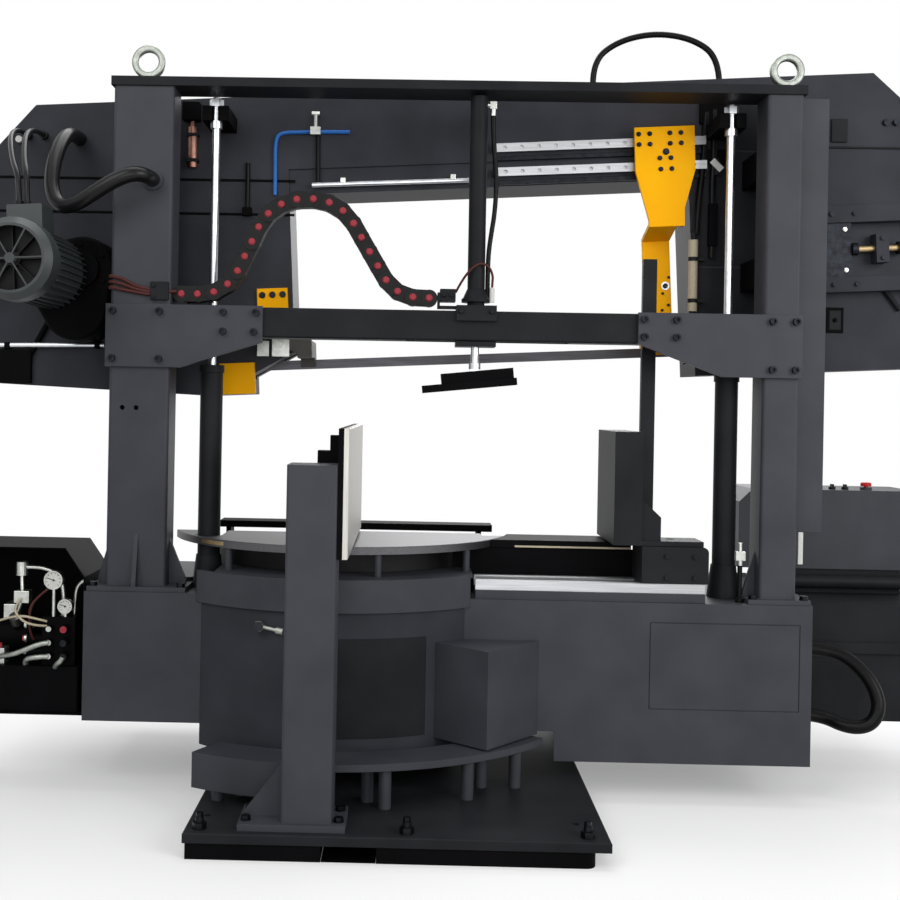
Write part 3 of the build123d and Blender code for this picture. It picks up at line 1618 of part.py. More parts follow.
with BuildPart() as motor:
    bow_round(motor_u, motor_w, motor_radius, fan_cover_rear, motor_rear)
    for number in range(fin_count):
        angle = 360 / fin_count * number
        with BuildSketch(BOW.offset(-motor_rear - fin_inset)) as fin:
            with Locations((motor_u, motor_w)):
                with PolarLocations(motor_radius + (fin_height - fin_root) / 2, 1, start_angle=angle):
                    Rectangle(fin_height + fin_root, fin_width)
        extrude(fin.sketch, amount=motor_rear - fan_cover_rear - fin_inset)
    bow_round(motor_u, motor_w, fan_cover_radius, motor_front, fan_cover_rear)
    chamfer(motor.edges().group_by(Axis.Y)[0], fan_cover_bevel)
    add(fan_space.part, mode=Mode.SUBTRACT)
    bow_round(motor_u, motor_w, fan_shaft, fan_seat - fan_shaft_length, fan_seat)
    bow_round(motor_u, motor_w, grille_outer, motor_front, grille, Mode.SUBTRACT)
    bow_round(motor_u, motor_w, grille_inner, motor_front, grille)
    for number in range(spoke_count):
        with BuildSketch(BOW.offset(-grille)) as spokes:
            with Locations((motor_u, motor_w)):
                Rectangle(2 * grille_outer, spoke_width, rotation=180 / spoke_count * number)
        extrude(spokes.sketch, amount=fan_cover_wall)
    box_front = fan_cover_rear + box_inset
    bow_block(
        motor_u - box_width / 2,
        motor_u + box_width / 2,
        motor_w + motor_radius - box_sink,
        motor_w + motor_radius + box_height,
        box_front,
        box_front + box_length,
    )
save(motor, "motor")

fan_half = 14
fan_hub = 22
fan_blades = 8
fan_radius = 108
fan_sheet = 4
fan_blade_length = 86
fan_blade_circle = 64
with BuildPart() as motor_fan:
    fan_mid = (motor_front + fan_cover_rear) / 2
    bow_round(motor_u, motor_w, fan_hub, fan_mid - fan_half, fan_seat - slide_gap)
    bow_round(motor_u, motor_w, fan_radius, fan_mid + fan_half - fan_sheet, fan_mid + fan_half)
    for number in range(fan_blades):
        with BuildSketch(BOW.offset(-fan_mid - fan_half)) as fan_blade:
            with Locations((motor_u, motor_w)):
                with PolarLocations(fan_blade_circle, 1, start_angle=360 / fan_blades * number):
                    Rectangle(fan_blade_length, fan_sheet)
        extrude(fan_blade.sketch, amount=2 * fan_half)
    bow_round(motor_u, motor_w, fan_shaft + running_gap, fan_mid - fan_half, fan_seat, Mode.SUBTRACT)
save(motor_fan, "motor_fan")

# Blade tension: a carrier with the idler axle slides between two bars
carrier_left = 1585
carrier_right = 1790
carrier_depth = 36
carrier_gap = 0.5
carrier_boss = 56
carrier_boss_gap = 10
axle_lip = 8
screw_end = 2060
collar_length = 20
with BuildPart() as tension_carrier:
    carrier_rear = bow_front - carrier_gap
    bow_block(
        carrier_left,
        carrier_right,
        bar_low[1] + carrier_gap,
        bar_high[0] - carrier_gap,
        carrier_rear - carrier_depth,
        carrier_rear,
    )
    boss_end = -hub_half - carrier_boss_gap
    bow_round(wheel_right, wheel_height, carrier_boss, carrier_rear, boss_end)
    bow_round(wheel_right, wheel_height, idler_axle, boss_end, hub_half + axle_lip)
    bow_bar(screw_w, screw_y, tension_screw, carrier_right, screw_end)
    nut_start = block_right_u + axle_lip + tension_travel
    for u in (carrier_right, nut_start):
        bow_bar(screw_w, screw_y, 2 * tension_screw, u, u + collar_length)
save(tension_carrier, "tension_carrier")

# Rails on the bow and the arm that brings the movable band guide
guide_rail_w = (664, 749)
guide_rail_left = 565
guide_rail_right = 1300
guide_rail_height = 30
guide_rail_depth = 26
guide_rail_pitch = 60
guide_rail_hole = 7
guide_rail_hole_depth = 13
guide_rail_face = bow_front - guide_rail_depth
with BuildPart() as guide_rails:
    count = int((guide_rail_right - guide_rail_left) / guide_rail_pitch)
    hole_floor = guide_rail_face + guide_rail_hole_depth
    for w in guide_rail_w:
        half = guide_rail_height / 2
        bow_block(guide_rail_left, guide_rail_right, w - half, w + half, guide_rail_face, bow_front)
        for number in range(count):
            u = guide_rail_left + guide_rail_pitch * (number + 0.5)
            bow_round(u, w, guide_rail_hole, guide_rail_face, hole_floor, Mode.SUBTRACT)
save(guide_rails, "guide_rails")

arm_mid = 1148
runner_half = 85
runner_front = -200
runner_lap = 10
runner_gap = 3
arm_sheet = 14
arm_front = runner_front - arm_sheet
arm_lower_left = 1083
arm_lower_right = 1180
arm_low_front = -80
arm_plate_top = 793
arm_plate_knee = 640
arm_plate_waist = 508
arm_bend_top = 470
arm_bend_low = 446
arm_bend_rear = 457
arm_lower_top = 412
arm_lower_back = 423
arm_hole_u = (-90, -52, 18, 56)
arm_hole_w = (770, 734)
head_top = 76
head_gap = 2.5
head_lap = 10
cheek_low = 8
cheek_clear = 1.2
cheek_depth = 30
link_low = 1520
link_high = 1556
link_gap = 0.5
link_end_gap = 2
link_lap = 40
link_bar = 30
with BuildPart() as guide_arm:
    for w in guide_rail_w:
        left = arm_mid - runner_half
        right = arm_mid + runner_half
        half = guide_rail_height / 2 + runner_lap
        bow_block(left, right, w - half, w + half, runner_front, bow_front - runner_gap)
        half = guide_rail_height / 2 + slide_gap
        bow_block(left, right, w - half, w + half, guide_rail_face - slide_gap, bow_front, Mode.SUBTRACT)
    bow_plate(
        [
            (1044, arm_plate_top),
            (1252, arm_plate_top),
            (1250, arm_plate_knee),
            (1209, arm_plate_waist),
            (1207, arm_bend_low),
            (arm_lower_left, arm_bend_low),
            (arm_lower_left, arm_bend_top),
            (1043, arm_plate_knee),
        ],
        arm_front,
        runner_front,
    )
    for u in arm_hole_u:
        for w in arm_hole_w:
            bow_round(arm_mid + u, w, screw_radius, arm_front, runner_front, Mode.SUBTRACT)
    with BuildSketch(
        Plane(origin=BOW.from_local_coords((arm_lower_left, 0, 0)), x_dir=(0, 1, 0), z_dir=BOW.x_dir)
    ) as bend:
        Polygon(
            (arm_front, arm_bend_low),
            (arm_front, arm_bend_top),
            (runner_front, arm_bend_top),
            (runner_front, arm_bend_rear),
            (arm_low_front + arm_sheet, arm_lower_back),
            (arm_low_front + arm_sheet, head_top),
            (arm_low_front, blade_width + head_gap),
            (arm_low_front, arm_lower_top),
            align=None,
        )
    extrude(bend.sketch, amount=arm_lower_right - arm_lower_left)
    head_low = blade_width + head_gap
    bow_block(arm_lower_left, arm_lower_right, head_low, head_top, arm_low_front, cheek_depth + head_lap)
    for y0, y1 in ((-cheek_depth, -cheek_clear), (cheek_clear, cheek_depth)):
        bow_block(arm_lower_left, arm_lower_right, cheek_low, head_low, y0, y1)
    link_half = mast_groove / 2 - link_gap
    link_left = mast_mid - link_half
    link_front = groove_front + link_end_gap
    slab(link_left, mast_mid + link_half, link_front, arm_low_front, link_low, link_high)
    slab(link_left, arm_lower_left + link_lap, arm_low_front - link_bar, arm_low_front, link_low, link_high)
save(guide_arm, "guide_arm")

# Fixed band guide on the left leg with its cover
left_guide_left = -295
left_guide_right = -187
head_left = -160
head_right = -108
guard_left = -436
guard_right = -312
guard_top = 25
guard_depth = 21
left_guide_top = 285
left_guide_screw_w = 262
left_guide_screw_inset = 18
left_guide_screw_head = 6
left_head_top = 96
with BuildPart() as guide_left:
    left_guide_face = bow_front - arm_sheet
    bow_plate(
        [
            (left_guide_left, left_guide_top),
            (left_guide_right, left_guide_top),
            (left_guide_right, 150),
            (head_right, 120),
            (head_right, 50),
            (head_left, 50),
            (left_guide_left, 130),
        ],
        left_guide_face,
        bow_front,
    )
    bow_block(head_left, head_right, head_low, left_head_top, left_guide_face, cheek_depth + head_lap)
    for y0, y1 in ((-cheek_depth, -cheek_clear), (cheek_clear, cheek_depth)):
        bow_block(head_left, head_right, cheek_low, head_low, y0, y1)
    bow_block(guard_left, guard_right, bow_foot, guard_top, bow_front - guard_depth, bow_front)
    for u in (left_guide_left + left_guide_screw_inset, left_guide_right - left_guide_screw_inset):
        screw_face = left_guide_face - left_guide_screw_head
        bow_round(u, left_guide_screw_w, screw_radius, screw_face, left_guide_face)
save(guide_left, "guide_left")

# Hydraulic cabinet on the left end of the bed, open to the front
cabinet_left = -1300
cabinet_front = -480
cabinet_rear = -175
cabinet_bottom = 246
cabinet_top = 794
cabinet_wall = 4
cabinet_chamfer = 65
cabinet_drop = 94
with BuildPart() as hydraulic_cabinet:
    front_plate(
        [
            (cabinet_left, cabinet_bottom),
            (bed_left, cabinet_bottom),
            (bed_left, cabinet_top - cabinet_drop),
            (bed_left - cabinet_chamfer, cabinet_top),
            (cabinet_left, cabinet_top),
        ],
        cabinet_front,
        cabinet_rear,
    )
    front_plate(
        [
            (cabinet_left + cabinet_wall, cabinet_bottom + cabinet_wall),
            (bed_left - cabinet_wall, cabinet_bottom + cabinet_wall),
            (bed_left - cabinet_wall, cabinet_top - cabinet_drop - cabinet_wall / 2),
            (bed_left - cabinet_chamfer - cabinet_wall / 2, cabinet_top - cabinet_wall),
            (cabinet_left + cabinet_wall, cabinet_top - cabinet_wall),
        ],
        cabinet_front,
        cabinet_rear - cabinet_wall,
        Mode.SUBTRACT,
    )
save(hydraulic_cabinet, "hydraulic_cabinet")

# Oil tank, pump motor and valve manifold inside the cabinet
tank_margin = 20
tank_top = 400
pump_radius = 68
pump_setback = 40
pump_left = -1260
pump_right = -1040
pump_foot_inset = 30
pump_foot_y = (-320, -250)
pump_foot_height = 30
valve_count = 3
valve_rise = 35
valve_pitch = 45
valve_radius = 14
plug_radius = 10
coil_radius = 16
coil_length = 60
valve_inset = 30
valve_stand = 30
plug_stand = 24
manifold_left = -965
manifold_right = -855
manifold_front = -442
manifold_rear = -360
manifold_top = 560
floor_z = cabinet_bottom + cabinet_wall
with BuildPart() as hydraulic_unit:
    slab(
        cabinet_left + tank_margin,
        bed_left - tank_margin,
        cabinet_front + tank_margin,
        cabinet_rear - tank_margin,
        floor_z,
        tank_top,
    )
    fillet(hydraulic_unit.edges().filter_by(Axis.Z), tank_margin / 2)
    pump_y = (cabinet_front + cabinet_rear) / 2 + pump_setback
    cross_round(pump_y, tank_top + pump_radius, pump_radius, pump_left, pump_right)
    foot_start = pump_left + pump_foot_inset
    foot_end = pump_right - pump_foot_inset
    slab(foot_start, foot_end, pump_foot_y[0], pump_foot_y[1], tank_top, tank_top + pump_foot_height)
    slab(manifold_left, manifold_right, manifold_front, manifold_rear, tank_top, manifold_top)
    for number in range(valve_count):
        z = tank_top + valve_rise + valve_pitch * number
        valve_x = manifold_right - valve_inset
        plug_x = manifold_left + valve_inset
        front_round(valve_x, z, valve_radius, manifold_front - valve_stand, manifold_front)
        front_round(plug_x, z, plug_radius, manifold_front - plug_stand, manifold_front)
        coil_y = (manifold_front + manifold_rear) / 2
        cross_round(coil_y, z, coil_radius, manifold_left - coil_length, manifold_left)
save(hydraulic_unit, "hydraulic_unit")

# Two pressure gauges on stems above the manifold
gauge_specs = ((-930, 682, 31), (-890, 596, 24))
gauge_y = -420
gauge_depth = 26
gauge_stem = 6
gauge_rim = 4
with BuildPart() as gauges:
    for x, z, radius in gauge_specs:
        front_round(x, z, radius, gauge_y - gauge_depth, gauge_y)
        gauge_face = gauge_y - gauge_depth
        front_round(x, z, radius - gauge_rim, gauge_face, gauge_face + gauge_rim, Mode.SUBTRACT)
        upright(x, gauge_y - gauge_depth / 2, gauge_stem, manifold_top, z - radius + gauge_rim)
save(gauges, "gauges")

# Coolant tank on the right end of the bed, with the stand and rail of the console
coolant_length = 584
tank_right = bed_right + coolant_length
coolant_front = -100
coolant_bottom = 190
coolant_top = 600
coolant_wall = 5
ledge_low_z = 430
ledge_high_z = 470
ledge_stand = 12
stand_front = 200
stand_rear = 290
console_bottom = 690
stand_inset = 24
handrail = 25
handrail_z = 645
handrail_sink = 1
handrail_start = 6
handrail_end = 20
with BuildPart() as coolant_tank:
    slab(bed_right, tank_right, coolant_front, bed_rear, coolant_bottom, coolant_top)
    slab(
        bed_right + coolant_wall,
        tank_right - coolant_wall,
        coolant_front + coolant_wall,
        bed_rear - coolant_wall,
        coolant_bottom + coolant_wall,
        coolant_top - coolant_wall,
        Mode.SUBTRACT,
    )
    slab(bed_right, tank_right, coolant_front - ledge_stand, coolant_front, ledge_low_z, ledge_high_z)
    stand_left = bed_right + stand_inset
    slab(stand_left, tank_right - stand_inset, stand_front, stand_rear, coolant_top, console_bottom)
    handrail_y = stand_front - handrail + handrail_sink
    cross_round(handrail_y, handrail_z, handrail, bed_right + handrail_start, tank_right + handrail_end)
save(coolant_tank, "coolant_tank")

# Control console with its stop button and two selector knobs
console_overlap = 58
console_overhang = 40
console_left = bed_right - console_overlap
console_right = tank_right + console_overhang
console_front = 190
console_rear = 480
console_top = 990
console_wall = 4
console_chamfer = 50
stop_inset = 186
stop_x = console_right - stop_inset
stop_y = 240
stop_collar = 22
stop_collar_height = 10
stop_stem = 8
stop_cap = 20
stop_cap_height = 14
stop_cap_round = 6
stop_cap_gap = 1
stop_stroke = 4
knob_x = (stop_x - 129, stop_x - 80)
knob_spindle = 4
knob_spindle_height = 10
with BuildPart() as console:
    front_plate(
        [
            (console_left, console_bottom),
            (console_right, console_bottom),
            (console_right, console_top),
            (console_left + console_chamfer, console_top),
            (console_left, console_top - console_chamfer),
        ],
        console_front,
        console_rear,
    )
    slab(
        console_left + console_chamfer,
        console_right - console_wall,
        console_front + console_wall,
        console_rear - console_wall,
        console_bottom + console_wall,
        console_top - console_wall,
        Mode.SUBTRACT,
    )
    upright(stop_x, stop_y, stop_collar, console_top, console_top + stop_collar_height)
    upright(
        stop_x,
        stop_y,
        stop_stem + running_gap,
        console_top - console_wall,
        console_top + stop_collar_height,
        Mode.SUBTRACT,
    )
    for x in knob_x:
        upright(x, stop_y, knob_spindle, console_top, console_top + knob_spindle_height)
save(console, "console")

with BuildPart() as stop_button:
    cap_bottom = console_top + stop_collar_height + stop_stroke + stop_cap_gap
    upright(stop_x, stop_y, stop_stem, console_top - 2 * stop_stroke, cap_bottom)
    upright(stop_x, stop_y, stop_cap, cap_bottom, cap_bottom + stop_cap_height)
    fillet(stop_button.edges().filter_by(GeomType.CIRCLE).group_by(Axis.Z)[-1], stop_cap_round)
save(stop_button, "stop_button")

knob_radius = 13
knob_step = 10
knob_height = 20
knob_lift = 0.5
knob_bore_depth = 12
grip_half = 4
grip_reach = knob_radius - 1
for name, x in zip(("knob_left", "knob_right"), knob_x):
    with BuildPart() as knob:
        knob_floor = console_top + knob_lift
        knob_shoulder = console_top + knob_step
        knob_top = console_top + knob_height
        knob_bore = knob_spindle + running_gap
        upright(x, stop_y, knob_radius, knob_floor, knob_shoulder)
        slab(x - grip_half, x + grip_half, stop_y - grip_reach, stop_y + grip_reach, knob_shoulder, knob_top)
        upright(x, stop_y, knob_bore, knob_floor, console_top + knob_bore_depth, Mode.SUBTRACT)
    save(knob, name)


def hose(points, radius, end_share=0.45):
    """Round hose along straight runs joined by tangent arcs."""
    vectors = [Vector(*point) for point in points]
    radii = []
    for before, corner, after in zip(vectors[:-2], vectors[1:-1], vectors[2:]):
        first = corner - before
        second = after - corner
        turn = radians(first.get_angle(second))
        shorter = min(first.length, second.length)
        radii.append(end_share * shorter / tan(turn / 2))
    with BuildLine() as route:
        FilletPolyline(*vectors, radius=radii)
    centre = route.wire()
    with BuildSketch(Plane(origin=centre @ 0, z_dir=centre % 0)) as section:
        Circle(radius)
    sweep(section.sketch, path=centre)
    print("hose diameter", 2 * radius, "length", round(centre.length, 1))


# Hose loops: the loom from bow to column, the arch on the bow and the loop at the bed's end
loom_route = (
    (-951, bow_front, 2207),
    (-951, -250, 2207),
    (-957, -350, 2160),
    (-962, -430, 2055),
    (-950, -478, 1957),
    (-908, -505, 1905),
    (-846, -530, 1917),
    (-772, -548, 1962),
    (-704, -552, 2000),
    (-655, -546, 2014),
    (gland_x, -512, gland_z),
    (gland_x, column_front - gland_depth, gland_z),
)
with BuildPart() as loom_hose:
    hose(loom_route, loom_radius)
save(loom_hose, "loom_hose")

arch_radius = 11
arch_y = -90
arch_u = (925, 1375)
arch_rise = 185


def bow_point(u, w, y):
    """World point of a place on the bow."""
    point = BOW.from_local_coords((u, w, -y))
    return (point.X, point.Y, point.Z)


arch_places = ((0, 0), (0, 0.5), (0.2, 0.88), (0.5, 1.02), (0.8, 0.88), (1, 0.5), (1, 0))
with BuildPart() as arch_hose:
    span = arch_u[1] - arch_u[0]
    hose(
        [bow_point(arch_u[0] + span * along, bow_top + arch_rise * up, arch_y) for along, up in arch_places],
        arch_radius,
    )
save(arch_hose, "arch_hose")

loop_radius = 23
loop_route = (
    (bed_right, -300, 484),
    (bed_right + 84, -300, 484),
    (bed_right + 166, -335, 468),
    (bed_right + 229, -385, 402),
    (bed_right + 252, -415, 322),
    (bed_right + 222, -425, 258),
    (bed_right + 156, -400, 240),
    (bed_right + 80, -330, 268),
    (bed_right, -330, 268),
)
with BuildPart() as loop_hose:
    hose(loop_route, loop_radius)
save(loop_hose, "loop_hose")
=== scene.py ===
from bisect import bisect
from itertools import accumulate
from math import atan2, hypot, radians, sin, tan

import bmesh
import bpy
from mathutils import Matrix, Vector


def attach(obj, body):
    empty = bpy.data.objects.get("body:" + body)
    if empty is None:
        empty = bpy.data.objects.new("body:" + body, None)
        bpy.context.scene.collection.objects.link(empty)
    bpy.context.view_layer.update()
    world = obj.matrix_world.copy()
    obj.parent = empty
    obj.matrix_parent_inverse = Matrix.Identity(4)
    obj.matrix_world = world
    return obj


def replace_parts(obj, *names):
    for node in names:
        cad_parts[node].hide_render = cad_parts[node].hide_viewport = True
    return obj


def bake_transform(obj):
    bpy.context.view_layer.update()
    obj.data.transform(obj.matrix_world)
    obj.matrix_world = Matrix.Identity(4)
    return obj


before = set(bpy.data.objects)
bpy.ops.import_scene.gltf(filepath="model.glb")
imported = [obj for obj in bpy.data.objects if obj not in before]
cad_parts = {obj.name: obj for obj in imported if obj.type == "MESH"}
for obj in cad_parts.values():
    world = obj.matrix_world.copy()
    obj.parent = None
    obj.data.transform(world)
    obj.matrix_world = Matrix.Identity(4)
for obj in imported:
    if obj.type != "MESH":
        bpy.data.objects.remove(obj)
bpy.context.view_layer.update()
MM = 0.001

# Places on the saw that the details share, in millimetres as in the drawing
BOW_TILT = 3
BOW_HEIGHT = 1415
BOW_FACE = -150
COLUMN_FACE = -448
CLAMP_X = 452
CLAMP_Y = -398
BED_TOP = 655
BED_END = 1556
BED_REAR = 300
DRUM_RADIUS = 650
TABLE_RADIUS = 600
ARM_FACE = -214
ARM_LOW_FACE = -80
SCREW_W = 347

WORLD = Matrix.Diagonal((MM, MM, MM, 1))
# The bow's own axes: along the band, in depth, and square to the band
BOW = WORLD @ Matrix.Translation((0, 0, BOW_HEIGHT)) @ Matrix.Rotation(radians(-BOW_TILT), 4, "Y")


# Node and colour helpers

def colour(code):
    """Linear colour from an sRGB hex code."""
    channels = [int(code[i:i + 2], 16) / 255 for i in (1, 3, 5)]
    return [c / 12.92 if c <= 0.04045 else ((c + 0.055) / 1.055) ** 2.4 for c in channels] + [1.0]


def add_node(tree, kind, settings=None, inputs=None):
    """Add a node, set its options, and give each input a value or a link."""
    made = tree.nodes.new(kind)
    for name, value in (settings or {}).items():
        setattr(made, name, value)
    for name, value in (inputs or {}).items():
        if isinstance(value, bpy.types.NodeSocket):
            tree.links.new(value, made.inputs[name])
        else:
            made.inputs[name].default_value = value
    return made


def new_material(name, **surface):
    """Material with a principled surface whose sockets take constant values."""
    material = bpy.data.materials.new(name)
    material.use_nodes = True
    shader = material.node_tree.nodes["Principled BSDF"]
    for socket, value in surface.items():
        shader.inputs[socket.replace("_", " ")].default_value = value
    return material, material.node_tree, shader


def two_tone(tree, factor, dark, light, low=0.3, high=0.7):
    """Ramp between two colours."""
    ramp = add_node(tree, "ShaderNodeValToRGB", inputs={"Fac": factor})
    ramp.color_ramp.elements[0].position = low
    ramp.color_ramp.elements[0].color = colour(dark)
    ramp.color_ramp.elements[1].position = high
    ramp.color_ramp.elements[1].color = colour(light)
    return ramp.outputs["Color"]


# Finishes

CLOUD_SIZE = 160 * MM
PEEL_SIZE = 5 * MM
PEEL_DEPTH = 0.5 * MM
PEEL_STRENGTH = 0.06
EDGE_ROUND = 2.5 * MM


def powder_coat(name, dark, light, roughness, sheen=0.22, other=None, limits=()):
    """Powder coat on steel: even colour, a soft sheen and a faint orange peel.
    The peel, about 1 mm on the machine, is drawn at 5 mm so that it shows.
    Where every limit holds, the paint has the other pair of colours."""
    material, tree, shader = new_material(name, Roughness=roughness, Specular_IOR_Level=sheen)
    place = add_node(tree, "ShaderNodeTexCoord").outputs["Object"]
    clouds = add_node(
        tree, "ShaderNodeTexNoise", inputs={"Vector": place, "Scale": 1 / CLOUD_SIZE, "Detail": 4.0}
    )
    tone = two_tone(tree, clouds.outputs["Fac"], dark, light)
    if other:
        axes = add_node(tree, "ShaderNodeSeparateXYZ", inputs={"Vector": place})
        flat = add_node(
            tree, "ShaderNodeCombineXYZ", inputs={"X": axes.outputs["X"], "Y": axes.outputs["Y"]}
        )
        reach = add_node(
            tree, "ShaderNodeVectorMath", {"operation": "LENGTH"}, {0: flat.outputs["Vector"]}
        )
        values = {"X": axes.outputs["X"], "Z": axes.outputs["Z"], "R": reach.outputs["Value"]}
        share = 1.0
        for axis, test, limit in limits:
            inside = add_node(
                tree, "ShaderNodeMath", {"operation": test}, {0: values[axis], 1: limit * MM}
            )
            both = add_node(
                tree, "ShaderNodeMath", {"operation": "MULTIPLY"}, {0: inside.outputs["Value"], 1: share}
            )
            share = both.outputs["Value"]
        second = two_tone(tree, clouds.outputs["Fac"], *other)
        mixed = add_node(tree, "ShaderNodeMix", {"data_type": "RGBA"}, {0: share, 6: tone, 7: second})
        tone = mixed.outputs[2]
    peel = add_node(
        tree, "ShaderNodeTexNoise", inputs={"Vector": place, "Scale": 1 / PEEL_SIZE, "Detail": 2.0}
    )
    edge = add_node(tree, "ShaderNodeBevel", {"samples": 4}, {"Radius": EDGE_ROUND})
    bump = add_node(
        tree,
        "ShaderNodeBump",
        inputs={
            "Strength": PEEL_STRENGTH,
            "Distance": PEEL_DEPTH,
            "Height": peel.outputs["Fac"],
            "Normal": edge.outputs["Normal"],
        },
    )
    tree.links.new(tone, shader.inputs["Base Color"])
    tree.links.new(bump.outputs["Normal"], shader.inputs["Normal"])
    return material


LINE_SPACING = 3 * MM
LINE_LENGTH = 140 * MM
LINE_DEPTH = 0.3 * MM
LINE_STRENGTH = 0.12


def ground_metal(name, dark, light, roughness, along="X"):
    """Ground or drawn metal: fine straight lines that stretch the highlights.
    The lines, well under 1 mm on the machine, are drawn 3 mm apart."""
    material, tree, shader = new_material(name, Metallic=1.0, Roughness=roughness)
    place = add_node(tree, "ShaderNodeTexCoord").outputs["Object"]
    scale = [1 / LINE_SPACING] * 3
    scale["XYZ".index(along)] = 1 / LINE_LENGTH
    lines_place = add_node(tree, "ShaderNodeMapping", inputs={"Vector": place, "Scale": scale})
    lines = add_node(
        tree,
        "ShaderNodeTexNoise",
        inputs={"Vector": lines_place.outputs["Vector"], "Scale": 1.0, "Detail": 3.0},
    )
    tone = two_tone(tree, lines.outputs["Fac"], dark, light, 0.25, 0.75)
    bump = add_node(
        tree,
        "ShaderNodeBump",
        inputs={"Strength": LINE_STRENGTH, "Distance": LINE_DEPTH, "Height": lines.outputs["Fac"]},
    )
    tree.links.new(tone, shader.inputs["Base Color"])
    tree.links.new(bump.outputs["Normal"], shader.inputs["Normal"])
    return material


BLOTCH_SIZE = 18 * MM


def plated_metal(name, dark, light, roughness):
    """Plated or polished metal: bright, with faint cloudy patches."""
    material, tree, shader = new_material(name, Metallic=1.0, Roughness=roughness)
    place = add_node(tree, "ShaderNodeTexCoord").outputs["Object"]
    patches = add_node(
        tree, "ShaderNodeTexNoise", inputs={"Vector": place, "Scale": 1 / BLOTCH_SIZE, "Detail": 3.0}
    )
    tree.links.new(two_tone(tree, patches.outputs["Fac"], dark, light), shader.inputs["Base Color"])
    return material


GRAIN_SIZE = 3 * MM
GRAIN_DEPTH = 0.3 * MM
GRAIN_STRENGTH = 0.1


def moulded(name, dark, light, roughness, sheen=0.2):
    """Moulded plastic or rubber: one colour with a fine matt grain.
    The grain, well under 1 mm on the machine, is drawn at 3 mm so that it shows."""
    material, tree, shader = new_material(name, Roughness=roughness, Specular_IOR_Level=sheen)
    place = add_node(tree, "ShaderNodeTexCoord").outputs["Object"]
    grain = add_node(
        tree, "ShaderNodeTexNoise", inputs={"Vector": place, "Scale": 1 / GRAIN_SIZE, "Detail": 2.0}
    )
    bump = add_node(
        tree,
        "ShaderNodeBump",
        inputs={"Strength": GRAIN_STRENGTH, "Distance": GRAIN_DEPTH, "Height": grain.outputs["Fac"]},
    )
    tree.links.new(two_tone(tree, grain.outputs["Fac"], dark, light), shader.inputs["Base Color"])
    tree.links.new(bump.outputs["Normal"], shader.inputs["Normal"])
    return material


MID_GREY = ("#33343a", "#3d3e44")
SIGNAL_YELLOW = ("#fdae00", "#ffb900")
# Mid grey of the columns, bed and post: even, with a soft sheen
anthracite = powder_coat("anthracite_powder_coat", *MID_GREY, roughness=0.5)
# A slightly darker and flatter copy of the mid grey: painted shade on the bow, its doors and the drum,
# which sit in shadow
bow_shade_paint = powder_coat("anthracite_with_painted_shade", "#303136", "#3a3b41", roughness=0.5, sheen=0.08)
# Nearly black grey with little sheen on beam, barrels, vise and cover plates; on the base plate it is
# painted shade under the machine
beam_grey = powder_coat("beam_powder_coat", "#1c1d20", "#252629", roughness=0.5, sheen=0.08)
# The table ring's grey outside, and painted shade on its inside: black where little light falls
RING_SHADE_RADIUS = 490
ring_paint_and_shade = powder_coat(
    "anthracite_with_painted_black_shade",
    *MID_GREY,
    roughness=0.5,
    other=("#070708", "#0b0b0d"),
    limits=[("R", "LESS_THAN", RING_SHADE_RADIUS)],
)
# Deep flat black of the base, the cabinet, the rests and the clamp's pad
black_enamel = powder_coat("black_enamel", "#060607", "#0c0c0e", roughness=0.55, sheen=0.03)
# Warm bright yellow of the guide arm
yellow_enamel = powder_coat("signal_yellow_enamel", *SIGNAL_YELLOW, roughness=0.5, sheen=0.08)
# The fixed guide's yellow, with its lower right end left as grey casting
CASTING_LEFT = -305
CASTING_TOP = 1600
guide_paint = powder_coat(
    "yellow_enamel_over_bare_casting",
    *SIGNAL_YELLOW,
    roughness=0.5,
    sheen=0.08,
    other=("#4b4a48", "#65635f"),
    limits=[("X", "GREATER_THAN", CASTING_LEFT), ("Z", "LESS_THAN", CASTING_TOP)],
)
# Slightly green grey with a clear highlight on the motor's ribs
motor_enamel = powder_coat("grey_green_motor_enamel", "#2d3132", "#383d3e", roughness=0.35, sheen=0.4)
# Pale steel with upright grinding lines on the jaw's face and the wheels
ground_steel = ground_metal("ground_steel", "#9d9b96", "#bab8b2", roughness=0.45, along="Z")
# Darker machined iron with lines along the table
table_iron = ground_metal("machined_cast_iron", "#4c4c4e", "#5e5e60", roughness=0.5)
# Bright hard rails with lines along their length
rail_steel = ground_metal("hardened_rail_steel", "#9a9b9e", "#b8b9bb", roughness=0.35)
# Dull dark steel of the saw band
band_steel = ground_metal("saw_band_steel", "#434346", "#5c5c60", roughness=0.45)
# Pale bright plating of fittings, nuts and steel pipes
zinc = plated_metal("zinc_plating", "#a9aba6", "#c3c5c0", roughness=0.35)
# A greyer, duller coat on lifting eyes, lever and braided hoses
galvanised = plated_metal("galvanised_steel", "#848882", "#a0a49d", roughness=0.45)
# Smooth bright rods with long highlights
chrome = plated_metal("hard_chrome", "#bcbfc3", "#d0d3d6", roughness=0.28)
# Dark satin screws and brackets
black_oxide = plated_metal("black_oxide_steel", "#1c1d20", "#282a2e", roughness=0.45)
# Pale dull brass of the scale, the tension screw and the drain
brass = plated_metal("brass", "#8d7a58", "#a8946f", roughness=0.45)
# Brown red tube with a dull shine
copper = plated_metal("copper_tube", "#8a6355", "#a87f70", roughness=0.45)
# Flat black nylon of chain, knobs and latches
black_plastic = moulded("moulded_black_nylon", "#070708", "#0c0c0d", roughness=0.55)
# Clear red of the stop button
red_plastic = moulded("moulded_red_plastic", "#b01d22", "#c4282c", roughness=0.4)
# Duller red of the chain's pins and the caps
pin_red = moulded("moulded_dull_red_nylon", "#8e2b35", "#a83e48", roughness=0.5)
# Black hose with a thin wet highlight
rubber = moulded("black_hose_rubber", "#0b0b0c", "#121214", roughness=0.3, sheen=0.1)
